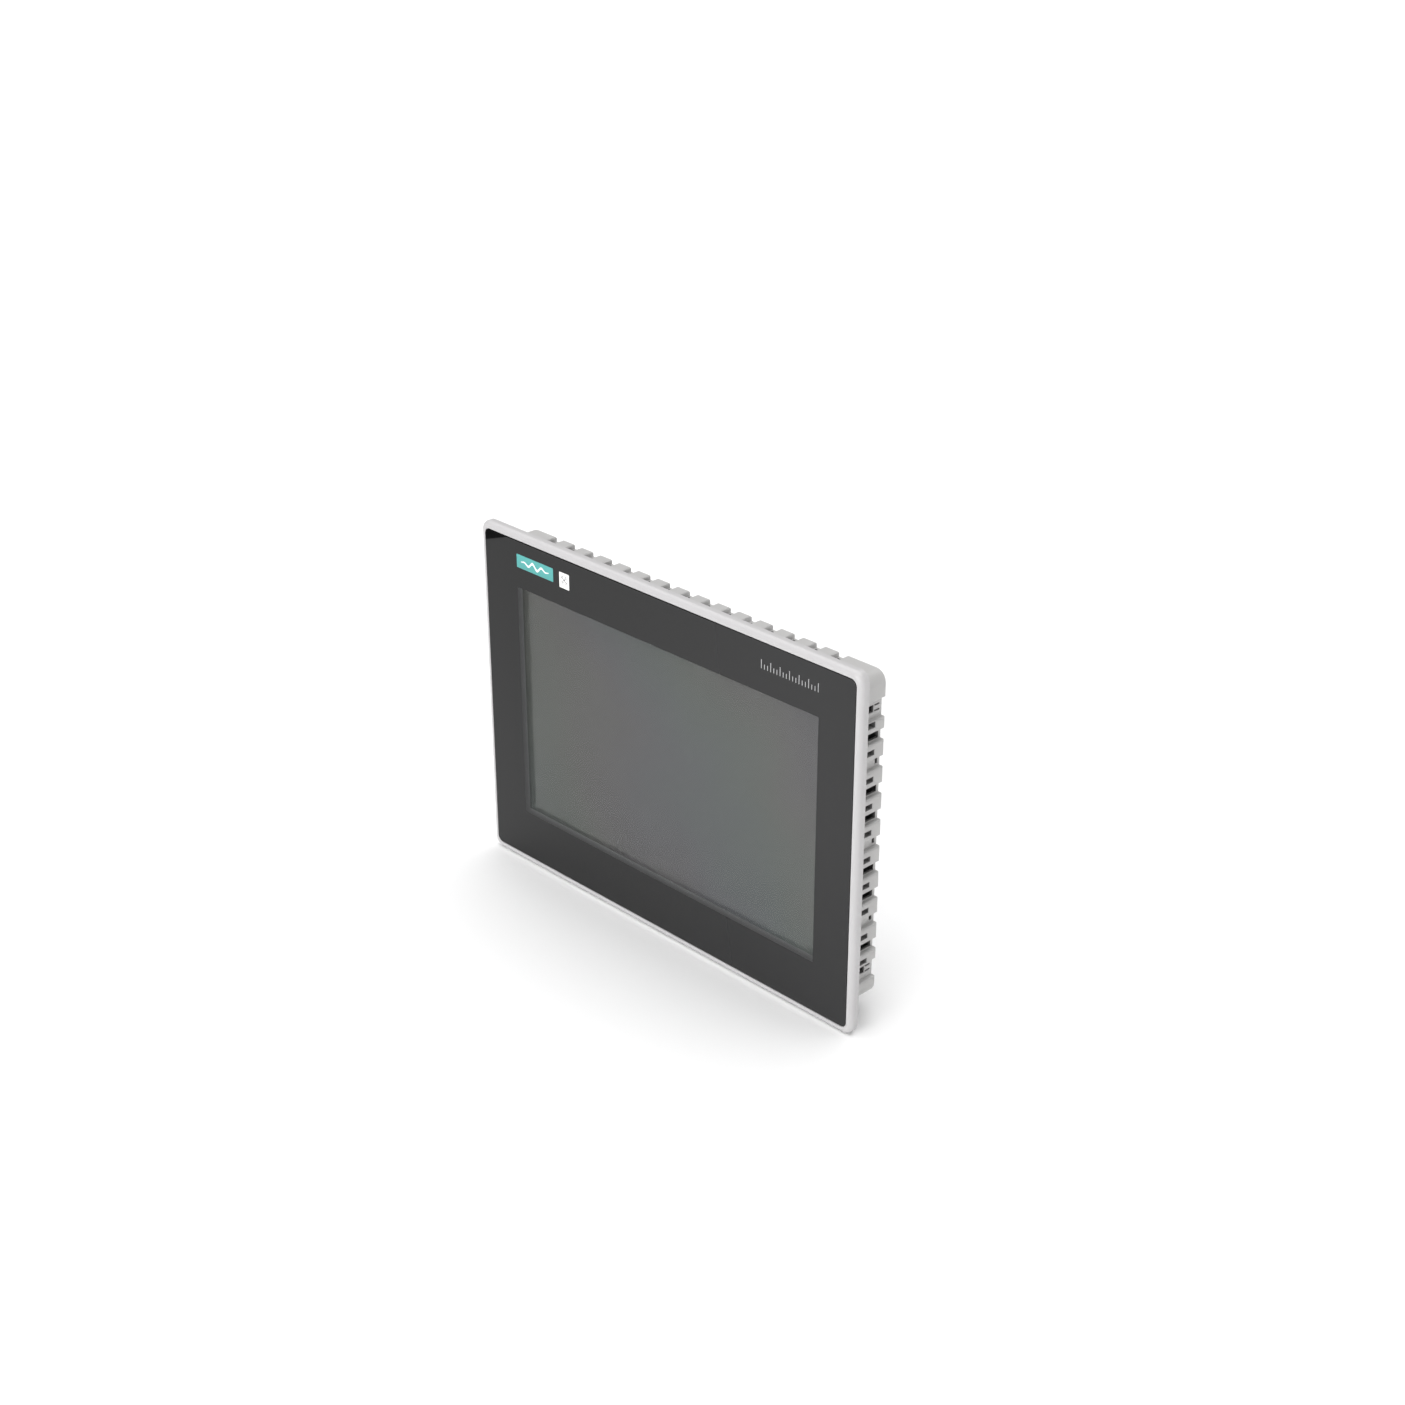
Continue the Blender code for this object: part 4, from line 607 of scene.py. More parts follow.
# Metals: colour, roughness and stretch of the drawn lines
METALS = {
    "zinc_plate": ((0.66, 0.67, 0.69), 0.3, (1.0, 1.0, 1.0)),
    "sheet_steel": ((0.56, 0.57, 0.58), 0.36, (1.0, 1.0, 16.0)),
    "sink_metal": ((0.72, 0.73, 0.74), 0.38, (14.0, 14.0, 1.0)),
    "gold_plate": ((0.85, 0.62, 0.25), 0.25, (1.0, 1.0, 1.0)),
}
SOCKETS = {"socket_1": "ethernet_port_1", "socket_2": "ethernet_port_2", "socket_3": "usb_port_1",
           "socket_4": "usb_port_2"}
OTHERS = {
    "bezel_coat": lambda name, c: grained(name, tuple(c.bezel), 0.36, depth=0.02 * MM, strength=0.25,
                                          coat=0.15),
    "housing_coat": lambda name, c: housing_finish(name, tuple(c.housing)),
    "cover_coat": lambda name, c: grained(name, tuple(c.cover), 0.5, grain=1500.0, depth=0.05 * MM),
    "glass_print": lambda name, c: printed_glass(name, window_limits(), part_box("front_glass")[0][1]),
    "display_off": lambda name, c: display_face(name, picture_limits(), tuple(c.display_dark),
                                                tuple(c.display_light)),
    "badge_foil": lambda name, c: printed_badge(name, tuple(c.badge)),
    "foam_rubber": lambda name, c: rubber_finish(name),
    "film": lambda name, c: clear_film(name),
    "board_mask": lambda name, c: board_finish(name),
    "terminal_moulding": lambda name, c: terminal_finish(name, "power_socket"),
    "amber_ribbon": lambda name, c: ribbon_finish(name),
    "silver_plate": lambda name, c: plate_finish(name, *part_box("type_plate")),
}


def finish(name):
    """The named finish, mixed once."""
    if name in bpy.data.materials:
        return bpy.data.materials[name]
    if name in STOCK:
        stock, roughness, grain, strength, spread = STOCK[name]
        return grained(name, stock, roughness, grain, strength=strength, spread=spread)
    if name in METALS:
        return metal(name, *METALS[name])
    if name in SOCKETS:
        return socket_finish(name, SOCKETS[name])
    return OTHERS[name](name, bpy.context.scene.panel_colours)


# ---------------------------------------------------------------- settings

def length(label, about, value, low=0.0, high=1.0):
    """A setting that is a length in metres."""
    return FloatProperty(name=label, description=about, default=value, min=low, max=high, precision=5,
        subtype="DISTANCE", unit="LENGTH")


def colour(label, about, value):
    """A setting that is a colour."""
    return FloatVectorProperty(name=label, description=about, default=value, min=0.0, max=1.0, size=3,
        subtype="COLOR")


def power(label, about, value):
    """A setting that is the strength of a light."""
    return FloatProperty(name=label, description=about, default=value, min=0.0)


class PanelSizes(bpy.types.PropertyGroup):
    """Sizes of the details that the solid model leaves to the finish."""

    rim_fillet: length("Rim fillet", "Radius of the bezel's front edge", 3.0 * MM)
    back_fillet: length("Back fillet", "Radius of the bezel's back edge", 0.4 * MM)
    lip_fillet: length("Lip fillet", "Radius of the edge next to the glass", 0.25 * MM)
    bezel_corner: length("Bezel corner", "Radius of the bezel's four corners", 6.0 * MM)
    glass_corner: length("Glass corner", "Radius of the glass's four corners", 3.5 * MM)
    glass_edge: length("Glass edge", "Radius of the glass's polished edge", 0.3 * MM)
    border_left: length("Left border", "Printed border left of the window", 26.0 * MM)
    border_right: length("Right border", "Printed border right of the window", 23.4 * MM)
    border_top: length("Top border", "Printed border above the window", 27.3 * MM)
    border_bottom: length("Bottom border", "Printed border below the window", 29.1 * MM)
    housing_edge: length("Housing edge", "Rounding of the rear housing's edges", 0.22 * MM)
    cover_edge: length("Cover edge", "Rounding of the service cover's edges", 0.18 * MM)
    port_edge: length("Port edge", "Rounding of the port shells' edges", 0.12 * MM)
    foil: length("Foil", "Thickness of the foils and prints on the glass", 0.07 * MM)
    housing_depth: length("Housing depth", "Back face of the rear housing", 23.0 * MM)
    notch_depth: length("Notch depth", "Depth of the notches in the housing's sides", 2.9 * MM)
    post_corner: length("Post corner", "Size of the corners that hold the housing screws", 13.2 * MM)
    vent_pitch: length("Vent pitch", "Pitch of the notches and vents", 14.95 * MM)
    vent_shift_x: length("Vent shift X", "Middle of the rows of vents across the panel", -2.1 * MM,
        low=-1.0)
    vent_shift_z: length("Vent shift Z", "Middle of the rows of vents up the panel", -1.8 * MM, low=-1.0)
    vent_half: length("Vent half width", "Half the width of a small vent", 1.55 * MM)
    vent_start: length("Vent start", "Where a small vent starts", 9.9 * MM)
    vent_end: length("Vent end", "Where a small vent ends", 15.6 * MM)
    scale_ticks: IntProperty(name="Scale ticks", description="Strokes in the printed scale mark",
        default=19, min=3, max=60)


class PanelColours(bpy.types.PropertyGroup):
    """Colours of the coated, printed and moulded finishes."""

    bezel: colour("Bezel", "Colour of the coated bezel", (0.478, 0.470, 0.474))
    housing: colour("Housing", "Colour of the rear housing", (0.47, 0.465, 0.46))
    cover: colour("Cover", "Colour of the service cover", (0.45, 0.45, 0.455))
    badge: colour("Badge", "Colour of the badge foil", (0.075, 0.36, 0.345))
    # the two ends of the display's painted light falloff; the darker one also gives the margin's tone
    display_dark: colour("Display dark", "The display's darker side", (0.055, 0.055, 0.054))
    display_light: colour("Display light", "The display's lighter side", (0.086, 0.087, 0.089))


class StageSettings(bpy.types.PropertyGroup):
    """Camera, lights and floor."""

    camera_place: FloatVectorProperty(name="Camera place", description="Where the camera stands",
        default=(0.7804, -0.7409, 0.5650), subtype="XYZ_LENGTH", unit="LENGTH")
    camera_heading: FloatVectorProperty(name="Camera heading",
        description="Direction of the camera's view", default=(-0.63993, 0.62959, -0.44057),
        subtype="DIRECTION")
    lens: FloatProperty(name="Lens", description="Focal length for a 36 mm sensor", default=58.87,
        min=1.0, unit="CAMERA")
    floor_size: length("Floor size", "Side of the square floor", 24.0, 0.1, 100.0)
    sky_light: power("Sky light", "Strength of the even light all round", 0.35)
    key_strength: power("Key light", "Strength of the soft light from the front", 0.98)
    side_strength: power("Side light", "Strength of the soft light from the right", 0.18)
    top_strength: power("Top light", "Strength of the soft light overhead", 0.80)


# ---------------------------------------------------------------- pieces

class PANEL_OT_bezel(bpy.types.Operator):
    """Build the coated bezel: its section carried round, with the bracket posts behind"""

    bl_idname = "panel.bezel"
    bl_label = "Bezel"

    def execute(self, context):
        sizes = context.scene.panel_sizes
        low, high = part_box("front_frame")
        glass_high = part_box("front_glass")[1]
        window_low, window_high, middle = measured("touch_sensor")
        half = (high[0], high[2])
        pocket = (glass_high[0] + GAP, glass_high[2] + GAP)
        window = ((window_high[0] - window_low[0]) / 2 + MM, (window_high[2] - window_low[2]) / 2 + MM)
        front, floor = low[1], glass_high[1] + 1.2 * MM
        rim_in, rim_on = quarter(sizes.rim_fillet, 12)
        back_in, back_on = quarter(sizes.back_fillet, 4)
        lip_in, lip_on = quarter(sizes.lip_fillet, 4)
        corner = sizes.bezel_corner
        outer_in = np.concatenate([back_in[::-1], rim_in])
        outer_y = np.concatenate([back_on[::-1] - sizes.back_fillet, front + sizes.rim_fillet - rim_on])
        rings = [rounded_rings(half[0] - outer_in, half[1] - outer_in, corner - outer_in, outer_y)]
        lip = lip_in[::-1]
        rings.append(rounded_rings(pocket[0] + lip, pocket[1] + lip, sizes.glass_corner + GAP + lip,
            front + sizes.lip_fillet - lip_on[::-1]))
        rings.append(rounded_rings(*pocket, sizes.glass_corner + GAP, [floor]))
        rings.append(rounded_rings(*window, sizes.glass_corner, [floor, 0.0], middle[::2]))
        depth, inner, outer = 1.3 * MM, 7.25 * MM, 3.25 * MM
        rings.append(rounded_rings(half[0] - inner, half[1] - inner, 2.0 * MM, [0.0, -depth]))
        rings.append(rounded_rings(half[0] - outer, half[1] - outer, corner - outer, [-depth, 0.0]))
        frame_shape = skinned(np.concatenate(rings), closed=True)
        posts = []
        for number in range(1, 5):
            across, _, up = measured(f"bracket_screw_{number}")[2]
            wall, bore, end, bottom = 3.5 * MM, 1.6 * MM, high[1], 0.4 * MM
            posts.append(skinned(turned_rings([wall, wall, wall - GAP, bore, bore, 0.2 * MM],
                [0.0, end - GAP, end, end, bottom, bottom], (across, 0.0, up))))
        placed("front_bezel", merged(frame_shape, *posts), finish("bezel_coat"), ("front_frame",),
            "frame_grey")
        return {"FINISHED"}


class PANEL_OT_glass(bpy.types.Operator):
    """Build the cover glass: a rounded sheet with a polished edge, black outside its window"""

    bl_idname = "panel.glass"
    bl_label = "Cover glass"

    def execute(self, context):
        sizes = context.scene.panel_sizes
        low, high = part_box("front_glass")
        inset, rise = quarter(sizes.glass_edge, 4)
        inset = np.concatenate([inset[::-1], inset])
        depth = np.concatenate([low[1] + sizes.glass_edge - rise[::-1],
            high[1] - sizes.glass_edge + rise])
        rings = rounded_rings(high[0] - inset, high[2] - inset, sizes.glass_corner - inset, depth)
        placed("touch_glass", skinned(rings), finish("glass_print"), ("front_glass",), "black_glass",
            sharp=50.0)
        return {"FINISHED"}


class PANEL_OT_marks(bpy.types.Operator):
    """Build the printed marks: a badge with a wave, a sticker with a sign, and a row of scale ticks"""

    bl_idname = "panel.marks"
    bl_label = "Printed marks"

    def execute(self, context):
        sizes = context.scene.panel_sizes
        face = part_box("front_glass")[0][1]

        def foil(node):
            low, high = (Vector(corner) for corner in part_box(node))
            low.y, high.y = face - sizes.foil, face + 0.01 * MM
            return low, high

        low, high = foil("badge_plate")
        placed("badge_tab", soft_block(low, high, HAIR, 0.5 * MM), finish("badge_foil"),
            ("badge_plate",), "teal")
        margin = 3.6 * MM
        across = np.linspace(low[0] + margin, high[0] - margin, 97)
        share = (across - across[0]) / (across[-1] - across[0])
        middle = (low[2] + high[2]) / 2
        swell = np.sin(np.pi * share)
        line = middle + 1.5 * MM * swell * np.sin(6 * np.pi * share)
        path = np.stack([across, np.full_like(across, low[1]), line], -1)
        thick = (0.25 + 0.55 * swell) * MM
        outline = np.array([(-1, -1), (1, -1), (1, 1), (-1, 1)], float)
        side = np.stack([np.zeros_like(thick), np.zeros_like(thick), thick], -1)
        lift = np.broadcast_to((0.0, 0.02 * MM, 0.0), side.shape)
        placed("badge_wave", skinned(swept(outline, path, side, lift)), finish("pale_ink"), sharp=60.0)
        low, high = foil("code_label")
        placed("sticker", soft_block(low, high, HAIR, 0.5 * MM), finish("label_paper"), ("code_label",),
            "label_white")
        middle = ((low[0] + high[0]) / 2, low[1], (low[2] + high[2]) / 2 + 0.4 * MM)
        turn = np.linspace(0, 2 * np.pi, 48, endpoint=False)
        dot = turned_rings([0.7 * MM, 0.7 * MM], [-0.03 * MM, 0.01 * MM], middle, steps=24)
        bars = []
        for reach in (1.5, 2.3):
            for side_x, side_z in ((1, 1), (-1, 1), (-1, -1), (1, -1)):
                arc = turn[6:19] / 2 - turn[6] / 2 + math.atan2(side_z, side_x) - math.pi / 10
                path = np.stack([middle[0] + reach * MM * np.cos(arc),
                    np.full_like(arc, low[1] - 0.01 * MM), middle[2] + reach * MM * np.sin(arc)], -1)
                outwards = np.stack([np.cos(arc), np.zeros_like(arc), np.sin(arc)], -1) * 0.2 * MM
                up = np.broadcast_to((0.0, 0.02 * MM, 0.0), outwards.shape)
                bars.append(skinned(swept(outline, path, outwards, up)))
        placed("sticker_sign", merged(skinned(dot), *bars), finish("label_ink"), sharp=60.0)
        low, high = foil("series_mark")
        half, shapes = 0.22 * MM, []
        spots = np.linspace(low[0] + 0.3 * MM, high[0] - 0.3 * MM, sizes.scale_ticks)
        for number, spot in enumerate(spots):
            tall = (high[2] - low[2]) * (1.0 if number % 3 == 0 else 0.55)
            shapes.append(soft_block((spot - half, low[1], low[2]),
                (spot + half, high[1], low[2] + tall), HAIR, 0.12 * MM))
        placed("scale_mark", merged(*shapes), finish("mark_ink"), ("series_mark",), "mark_grey")
        return {"FINISHED"}


class PANEL_OT_display(bpy.types.Operator):
    """Finish the display stack behind the glass, and round the folded edges of its tray and brackets"""

    bl_idname = "panel.display"
    bl_label = "Display"

    def execute(self, context):
        for node, coat in (("lcd_panel", "display_off"), ("touch_sensor", "film"),
                ("light_guide", "film"), ("led_strip", "white_moulding"),
                ("display_gasket", "foam_rubber"), ("glass_adhesive", "foam_rubber")):
            coated(node, coat)
        for name, node in (("tray_pan", "backlight_tray"), ("upper_bracket", "display_bracket_top"),
                ("lower_bracket", "display_bracket_bottom")):
            softened(name, node, 0.12 * MM, finish("sheet_steel"), "steel")
        return {"FINISHED"}


def coated(node, name):
    """Gives a solid a finish in place of its plain colour."""
    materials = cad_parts[node].data.materials
    for spot in range(len(materials)):
        materials[spot] = finish(name)
    if not materials:
        materials.append(finish(name))


class PANEL_OT_gasket(bpy.types.Operator):
    """Build the mounting gasket: a domed bead carried round the flange's groove"""

    bl_idname = "panel.gasket"
    bl_label = "Mounting gasket"

    def execute(self, context):
        low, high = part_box("panel_gasket")
        width = 3.4 * MM
        turn = np.linspace(0.0, np.pi, 9)
        shoulder = high[1] - width / 2.6
        inset = np.concatenate([[0.0], width / 2 * (1 - np.cos(turn)), [width]])
        depth = np.concatenate([[low[1]], shoulder + (high[1] - shoulder) * np.sin(turn), [low[1]]])
        radius = np.maximum(2.6 * MM - inset * 0.3, 1.6 * MM)
        rings = rounded_rings(high[0] - inset, high[2] - inset, radius, depth)
        placed("sealing_bead", skinned(rings, closed=True), finish("foam_rubber"), ("panel_gasket",),
            "black_rubber", sharp=50.0)
        return {"FINISHED"}


class PANEL_OT_housing(bpy.types.Operator):
    """Round over the rear housing's outer edges and coat it"""

    bl_idname = "panel.housing"
    bl_label = "Rear housing"

    def execute(self, context):
        sizes = context.scene.panel_sizes
        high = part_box("rear_housing")[1]

        def outside(spot):
            return (abs(spot.x) > high[0] - HOUSING_SKIN or abs(spot.z) > high[2] - HOUSING_SKIN or
                abs(spot.y - sizes.housing_depth) < 0.05 * MM)

        softened("housing_shell", "rear_housing", sizes.housing_edge, finish("housing_coat"),
            "housing_grey", keep=outside, turn=80.0, sharp=50.0)
        return {"FINISHED"}


class PANEL_OT_cover(bpy.types.Operator):
    """Round over the service cover and its card flap, and finish the hinge pin"""

    bl_idname = "panel.cover"
    bl_label = "Service cover"

    def execute(self, context):
        edge = context.scene.panel_sizes.cover_edge
        softened("service_cover", "back_cover", edge, finish("cover_coat"), "cover_grey", split=True)
        softened("card_flap", "card_door", edge, finish("cover_coat"), "cover_grey", body="card_door")
        coated("door_pin", "zinc_plate")
        return {"FINISHED"}


class PANEL_OT_screws(bpy.types.Operator):
    """Build every screw: a threaded shank and a domed head with a cross recess"""

    bl_idname = "panel.screws"
    bl_label = "Screws"

    def execute(self, context):
        kinds = (("bracket_screw", 4, 2.0, 1.25), ("housing_screw", 4, 2.4, 1.5),
            ("cover_screw", 4, 2.0, 1.25), ("board_screw", 4, 1.7, 1.0), ("earth_screw", 0, 3.0, 2.0))
        for kind, count, head, shank in kinds:
            for node in ([f"{kind}_{number}" for number in range(1, count + 1)] or [kind]):
                placed(node + "_fine", screw_shape(node, head * MM, shank * MM), finish("zinc_plate"),
                    (node,), "zinc", sharp=40.0, weighted=False)
        low, high, middle = measured("earth_washer")
        outer, bore, edge = (high[0] - low[0]) / 2, 2.35 * MM, 0.12 * MM
        profile = ([bore, outer - edge, outer, outer, outer - edge, bore],
            [low[1], low[1], low[1] + edge, high[1] - edge, high[1], high[1]])
        rings = turned_rings(*profile, (middle[0], 0.0, middle[2]), steps=48)
        placed("contact_washer", skinned(rings, closed=True), finish("zinc_plate"), ("earth_washer",),
            "zinc")
        return {"FINISHED"}


def screw_shape(node, head, shank):
    """The head is a polar grid: its height falls off as a dome, and drops by the recess where the angle
    and distance fall within a cross. The shank's radius rises and falls with its turn and its place
    along it, which winds the thread."""
    low, high, (across, _, up) = measured(node)
    middle = (across, 0.0, up)
    radius = (high[0] - low[0]) / 2
    seat = high[1] - head
    steps = 48
    turn = np.linspace(0, 2 * np.pi, steps, endpoint=False)
    share = np.array([1.0, 1.0, 0.97, 0.9, 0.8, 0.7, 0.62, 0.55, 0.48, 0.42, 0.34, 0.26, 0.18, 0.1,
        0.02])
    rise = np.array([0.0, 0.55, 0.68, 0.8, 0.9, 0.955, 0.975, 0.985, 0.992, 0.996, 1, 1, 1, 1, 1])[:,
        None]
    reach = share[:, None] * np.ones(steps)
    off_axis = np.minimum(np.abs(reach * np.cos(turn)), np.abs(reach * np.sin(turn)))
    within = np.clip((0.17 - off_axis) / 0.06, 0, 1) * np.clip((0.58 - reach) / 0.08, 0, 1)
    along = seat + head * (rise - 0.55 * within)
    dome = turned_rings(reach * radius, along, middle, steps=steps)
    pitch = shank * 0.5
    run = np.linspace(low[1] + pitch, seat - 0.2 * MM, max(8, int((seat - low[1]) / pitch * 5)))[:, None]
    phase = (run / pitch - turn / (2 * np.pi)) % 1.0
    thread = shank - 0.12 * shank * np.abs(2 * phase - 1)
    tip = np.array([[0.55], [0.8]]) * shank * np.ones(steps)
    radii = np.concatenate([tip, thread, np.full((2, steps), shank * 0.95)])
    places = np.concatenate([np.full((1, steps), low[1]), np.full((1, steps), low[1] + pitch * 0.5),
        run * np.ones(steps), np.full((1, steps), seat - 0.05 * MM), np.full((1, steps), seat)])
    body = turned_rings(radii, places, middle, steps=steps)
    return skinned(np.concatenate([body, dome]))


class PANEL_OT_ports(bpy.types.Operator):
    """Round over the port shells and add their contacts, lamps and pins"""

    bl_idname = "panel.ports"
    bl_label = "Ports"

    def execute(self, context):
        edge = context.scene.panel_sizes.port_edge
        for name, node, coat, slot in (("network_socket_1", "ethernet_port_1", "socket_1", "zinc"),
                ("network_socket_2", "ethernet_port_2", "socket_2", "zinc"),
                ("data_socket_1", "usb_port_1", "socket_3", "zinc"),
                ("data_socket_2", "usb_port_2", "socket_4", "zinc"),
                ("serial_socket", "serial_port", "zinc_plate", "zinc"),
                ("supply_socket", "power_socket", "terminal_moulding", "terminal_green"),
                ("reader_shell", "card_reader", "sheet_steel", "steel")):
            softened(name, node, edge, finish(coat), slot)
        contacts, lamps, ambers = [], [], []
        for node in ("ethernet_port_1", "ethernet_port_2"):
            low, high, middle = measured(node)
            ceiling = high[1] - 2.35 * MM
            for number in range(8):
                contacts.append(spring(middle[0] + (number - 3.5) * 1.02 * MM, ceiling,
                    low[2] + 2.5 * MM, 0.22 * MM, 2.6 * MM, 9.0 * MM))
            for side, lot in ((-1, lamps), (1, ambers)):
                spot = middle[0] + side * 5.6 * MM
                lot.append(soft_block((spot - 1.3 * MM, high[1] - 1.9 * MM, low[2] - 0.12 * MM),
                    (spot + 1.3 * MM, high[1] - 0.6 * MM, low[2] + 0.3 * MM), 0.1 * MM, 0.25 * MM,
                    axis=2))
        for node in ("usb_port_1", "usb_port_2"):
            low, _, middle = measured(node)
            for number in range(4):
                spot = middle[0] + (number - 1.5) * 2.2 * MM
                contacts.append(soft_block((spot - 0.5 * MM, middle[1] - 0.08 * MM, low[2] + 2.4 * MM),
                    (spot + 0.5 * MM, middle[1] + 0.05 * MM, low[2] + 9.0 * MM), 0.04 * MM, 0.1 * MM))
        low, _, middle = measured("serial_port")
        for count, side in ((5, 1), (4, -1)):
            for number in range(count):
                across = (number - (count - 1) / 2) * 2.76 * MM
                centre = (middle[0] + across, middle[1] + side * 1.42 * MM, 0.0)
                base, tip = low[2] + 5.8 * MM, low[2] + 0.9 * MM
                places = [base, tip + 0.5 * MM, tip + 0.2 * MM, tip + 0.05 * MM, tip]
                contacts.append(skinned(turned_rings(np.array([0.5, 0.5, 0.42, 0.25, 0.05]) * MM, places,
                    centre, axis=2, steps=16)))
        placed("port_contacts", merged(*contacts), finish("gold_plate"))
        placed("port_insulator", soft_block((middle[0] - 6.0 * MM, middle[1] - 3.1 * MM,
            low[2] + 4.4 * MM), (middle[0] + 6.0 * MM, middle[1] + 3.1 * MM, low[2] + 5.7 * MM),
            0.15 * MM, 0.8 * MM, axis=2), finish("black_moulding"))
        placed("link_lamps", merged(*lamps), finish("lamp_lens"))
        placed("traffic_lamps", merged(*ambers), finish("amber_lens"))
        return {"FINISHED"}


def spring(across, ceiling, start, half, drop, run):
    """A spring contact: a thin flat strip carried along an arc that sinks from the ceiling and rises
    again, by a half sine of its length."""
    share = np.linspace(0.0, 1.0, 13)
    path = np.stack([np.full_like(share, across), ceiling - drop * np.sin(np.pi * share * 0.62),
        start + run * share], -1)
    side = np.broadcast_to((half, 0.0, 0.0), path.shape)
    lift = np.broadcast_to((0.0, 0.1 * MM, 0.0), path.shape)
    return skinned(swept([(-1, -1), (1, -1), (1, 1), (-1, 1)], path, side, lift))


class PANEL_OT_moving(bpy.types.Operator):
    """Build the memory card with its sticker and the domed reset button"""

    bl_idname = "panel.moving"
    bl_label = "Card and button"

    def execute(self, context):
        low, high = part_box("memory_card")
        card = soft_block(low, high, 0.25 * MM, 1.6 * MM)
        ribs = [soft_block((high[0] - 1.3 * MM - step * 1.1 * MM, high[1] - 0.1 * MM, low[2] + 4.0 * MM),
            (high[0] - 0.8 * MM - step * 1.1 * MM, high[1] + 0.12 * MM, high[2] - 4.0 * MM), 0.06 * MM,
            0.2 * MM) for step in range(3)]
        placed("storage_card", merged(card, *ribs), finish("black_moulding"), ("memory_card",),
            "black_plastic", body="memory_card")
        margin, thumb = 3.0 * MM, 6.2 * MM
        sticker = soft_block((low[0] + margin, high[1] - 0.02 * MM, low[2] + margin),
            (high[0] - thumb, high[1] + 0.08 * MM, high[2] - margin), HAIR, 0.6 * MM)
        placed("card_sticker", sticker, finish("label_paper"), body="memory_card")
        low, high, (across, along, _) = measured("reset_button")
        cap, collar, tail = 1.6 * MM, (high[0] - low[0]) / 2, 1.2 * MM
        shoulder, back = low[2] + 1.7 * MM, low[2] + 2.5 * MM
        dish = np.linspace(0.02, 0.86, 8)
        radii = np.concatenate([cap * dish, [cap * 0.96, cap, cap, collar, collar, tail, tail,
            tail * 0.1]])
        places = np.concatenate([low[2] + 0.25 * MM * (1 - dish ** 2),
            [low[2] + 0.05 * MM, low[2] + 0.16 * MM, shoulder, shoulder, back, back, high[2], high[2]]])
        placed("push_cap", skinned(turned_rings(radii, places, (across, along, 0.0), axis=2, steps=48)),
            finish("black_moulding"), ("reset_button",), "black_plastic", body="reset_button")
        return {"FINISHED"}


class PANEL_OT_inside(bpy.types.Operator):
    """Finish the boards and what stands on them"""

    bl_idname = "panel.inside"
    bl_label = "Boards"

    def execute(self, context):
        for node, coat in (("main_board", "board_mask"), ("power_board", "board_mask"),
                ("processor", "chip_resin"), ("memory_chip", "chip_resin"),
                ("battery_holder", "black_moulding"), ("backup_battery", "zinc_plate"),
                ("power_inductor", "chip_resin"), ("buffer_capacitor_1", "sink_metal"),
                ("buffer_capacitor_2", "sink_metal"), ("display_cable", "amber_ribbon"),
                ("touch_cable", "amber_ribbon"), ("reset_switch", "chip_resin")):
            coated(node, coat)
        softened("cooling_block", "heat_sink", 0.15 * MM, finish("sink_metal"), "aluminium")
        low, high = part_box("type_plate")
        placed("rating_plate", soft_block(low, high, 0.08 * MM, 1.0 * MM), finish("silver_plate"),
            ("type_plate",), "label_silver")
        return {"FINISHED"}


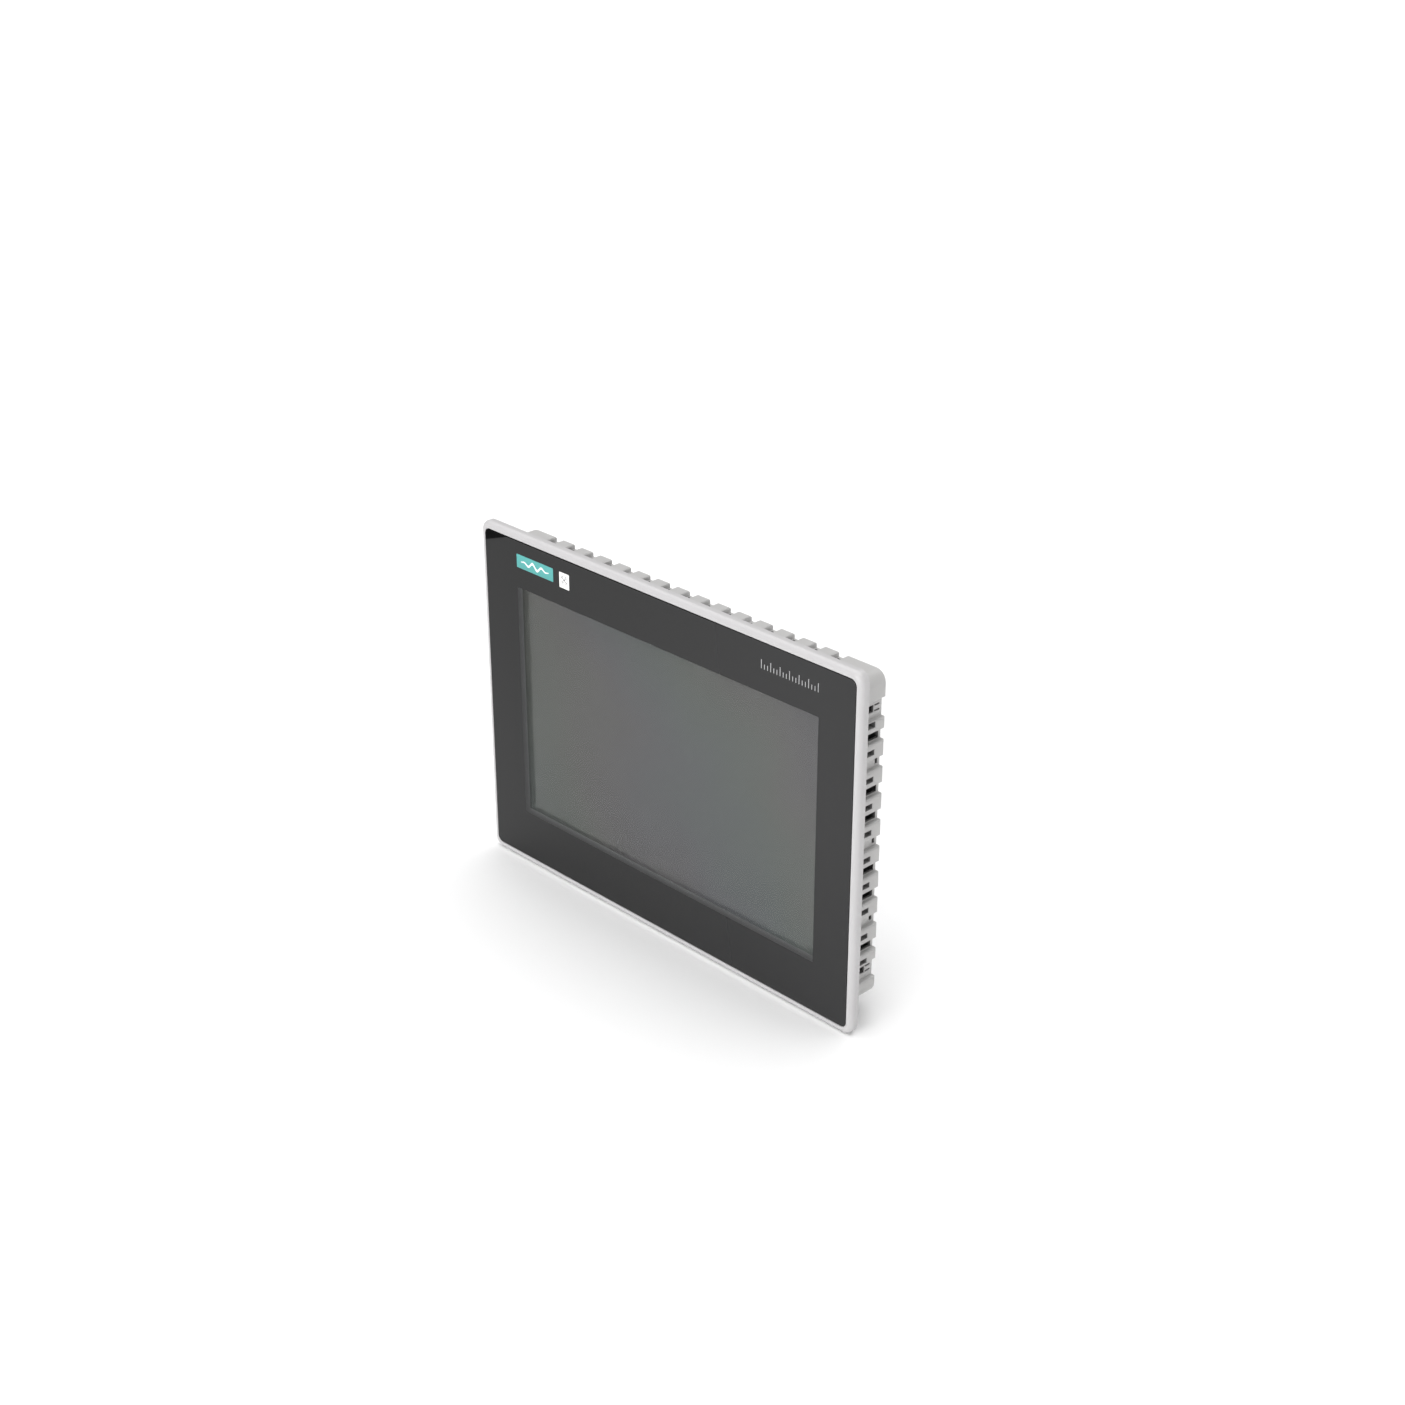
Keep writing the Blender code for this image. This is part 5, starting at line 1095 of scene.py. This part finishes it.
class PANEL_OT_stage(bpy.types.Operator):
    """Set the pale floor, the soft lights and the camera"""

    bl_idname = "panel.stage"
    bl_label = "Stage"

    def execute(self, context):
        settings = context.scene.panel_stage
        low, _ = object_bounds()
        half = settings.floor_size / 2
        paint = Paint("floor_paper")
        cloud = paint.noise(1.5, 2.0)
        paper = paint.finish(Base_Color=paint.blend(cloud, (0.90, 0.90, 0.90), (0.93, 0.93, 0.93)),
            Roughness=0.8 + cloud * 0.1)
        corners = [(-half, -half), (half, -half), (half, half), (-half, half)]
        self.add_sheet(context, "floor", corners, low[2], paper)
        self.add_flag(context, low[2])
        self.add_light(context, "key_light", settings.key_strength, 50.0, Vector((0.10, -0.95, 0.12)))
        self.add_light(context, "side_light", settings.side_strength, 60.0, Vector((0.88, 0.45, 0.20)))
        self.add_light(context, "top_light", settings.top_strength, 80.0, Vector((-0.15, 0.1, 1.0)))
        world = bpy.data.worlds.new("studio")
        world.use_nodes = True
        sky = world.node_tree.nodes["Background"]
        sky.inputs["Color"].default_value = (1.0, 1.0, 1.0, 1.0)
        sky.inputs["Strength"].default_value = settings.sky_light
        context.scene.world = world
        lens = bpy.data.cameras.new("camera")
        lens.sensor_width = 36.0
        lens.lens = settings.lens
        lens.clip_start, lens.clip_end = 0.01, 100.0
        camera = bpy.data.objects.new("camera", lens)
        camera.location = settings.camera_place
        camera.rotation_mode = "QUATERNION"
        camera.rotation_quaternion = Vector(settings.camera_heading).to_track_quat("-Z", "Y")
        context.scene.collection.objects.link(camera)
        context.scene.camera = camera
        context.scene.view_settings.view_transform = "Standard"
        return {"FINISHED"}

    def add_sheet(self, context, name, corners, height, material):
        """A flat sheet of the set at a height, its corners in order."""
        mesh = bpy.data.meshes.new(name)
        mesh.from_pydata([(x, y, height) for x, y in corners], [], [list(range(len(corners)))])
        mesh.materials.append(material)
        sheet = bpy.data.objects.new(name, mesh)
        context.scene.collection.objects.link(sheet)
        sheet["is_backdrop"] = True
        return sheet

    def add_flag(self, context, level):
        """A black card beside the object, which darkens one corner of what the glass mirrors."""
        corners = [(-0.502, -0.298), (-0.491, -0.318), (-0.22, -0.83), (-2.4, -2.4), (-2.4, 1.2),
            (-0.90, 0.42)]
        paint = Paint("flag_cloth")
        cloud = paint.noise(20.0, 2.0)
        cloth = paint.finish(Base_Color=paint.blend(cloud, (0.06, 0.06, 0.06), (0.08, 0.08, 0.08)),
            Roughness=0.9)
        flag = self.add_sheet(context, "flag", corners, level + 4.0 * MM, cloth)
        flag.visible_camera = False
        flag.visible_diffuse = False
        flag.visible_shadow = False

    def add_light(self, context, name, strength, breadth, towards):
        """A broad light far off in one direction; its breadth in degrees makes it soft."""
        light = bpy.data.lights.new(name, "SUN")
        light.energy = strength * math.pi
        light.angle = math.radians(breadth)
        made = bpy.data.objects.new(name, light)
        made.location = towards
        made.rotation_mode = "QUATERNION"
        made.rotation_quaternion = (-towards).to_track_quat("-Z", "Y")
        context.scene.collection.objects.link(made)


class PANEL_PT_sidebar(bpy.types.Panel):
    """Lists the settings and the pieces"""

    bl_idname = "PANEL_PT_sidebar"
    bl_label = "Operator Panel"
    bl_space_type = "VIEW_3D"
    bl_region_type = "UI"
    bl_category = "Operator Panel"

    def draw(self, context):
        for group in (context.scene.panel_sizes, context.scene.panel_colours, context.scene.panel_stage):
            box = self.layout.box()
            for key in group.bl_rna.properties.keys():
                if key not in ("rna_type", "name"):
                    box.prop(group, key)
        for kind in OPERATORS:
            self.layout.operator(kind.bl_idname)


GROUPS = (("panel_sizes", PanelSizes), ("panel_colours", PanelColours), ("panel_stage", StageSettings))
OPERATORS = (PANEL_OT_bezel, PANEL_OT_glass, PANEL_OT_marks, PANEL_OT_display, PANEL_OT_gasket,
    PANEL_OT_housing, PANEL_OT_cover, PANEL_OT_screws, PANEL_OT_ports, PANEL_OT_moving, PANEL_OT_inside,
    PANEL_OT_stage)


def register():
    for name, group in GROUPS:
        bpy.utils.register_class(group)
        setattr(bpy.types.Scene, name, PointerProperty(type=group))
    for kind in OPERATORS + (PANEL_PT_sidebar,):
        bpy.utils.register_class(kind)


def unregister():
    for kind in reversed(OPERATORS + (PANEL_PT_sidebar,)):
        bpy.utils.unregister_class(kind)
    for name, group in reversed(GROUPS):
        delattr(bpy.types.Scene, name)
        bpy.utils.unregister_class(group)


def main():
    """Registers the add-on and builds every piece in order."""
    register()
    for kind in OPERATORS:
        group, name = kind.bl_idname.split(".")
        getattr(getattr(bpy.ops, group), name)()


if __name__ == "__main__":
    main()
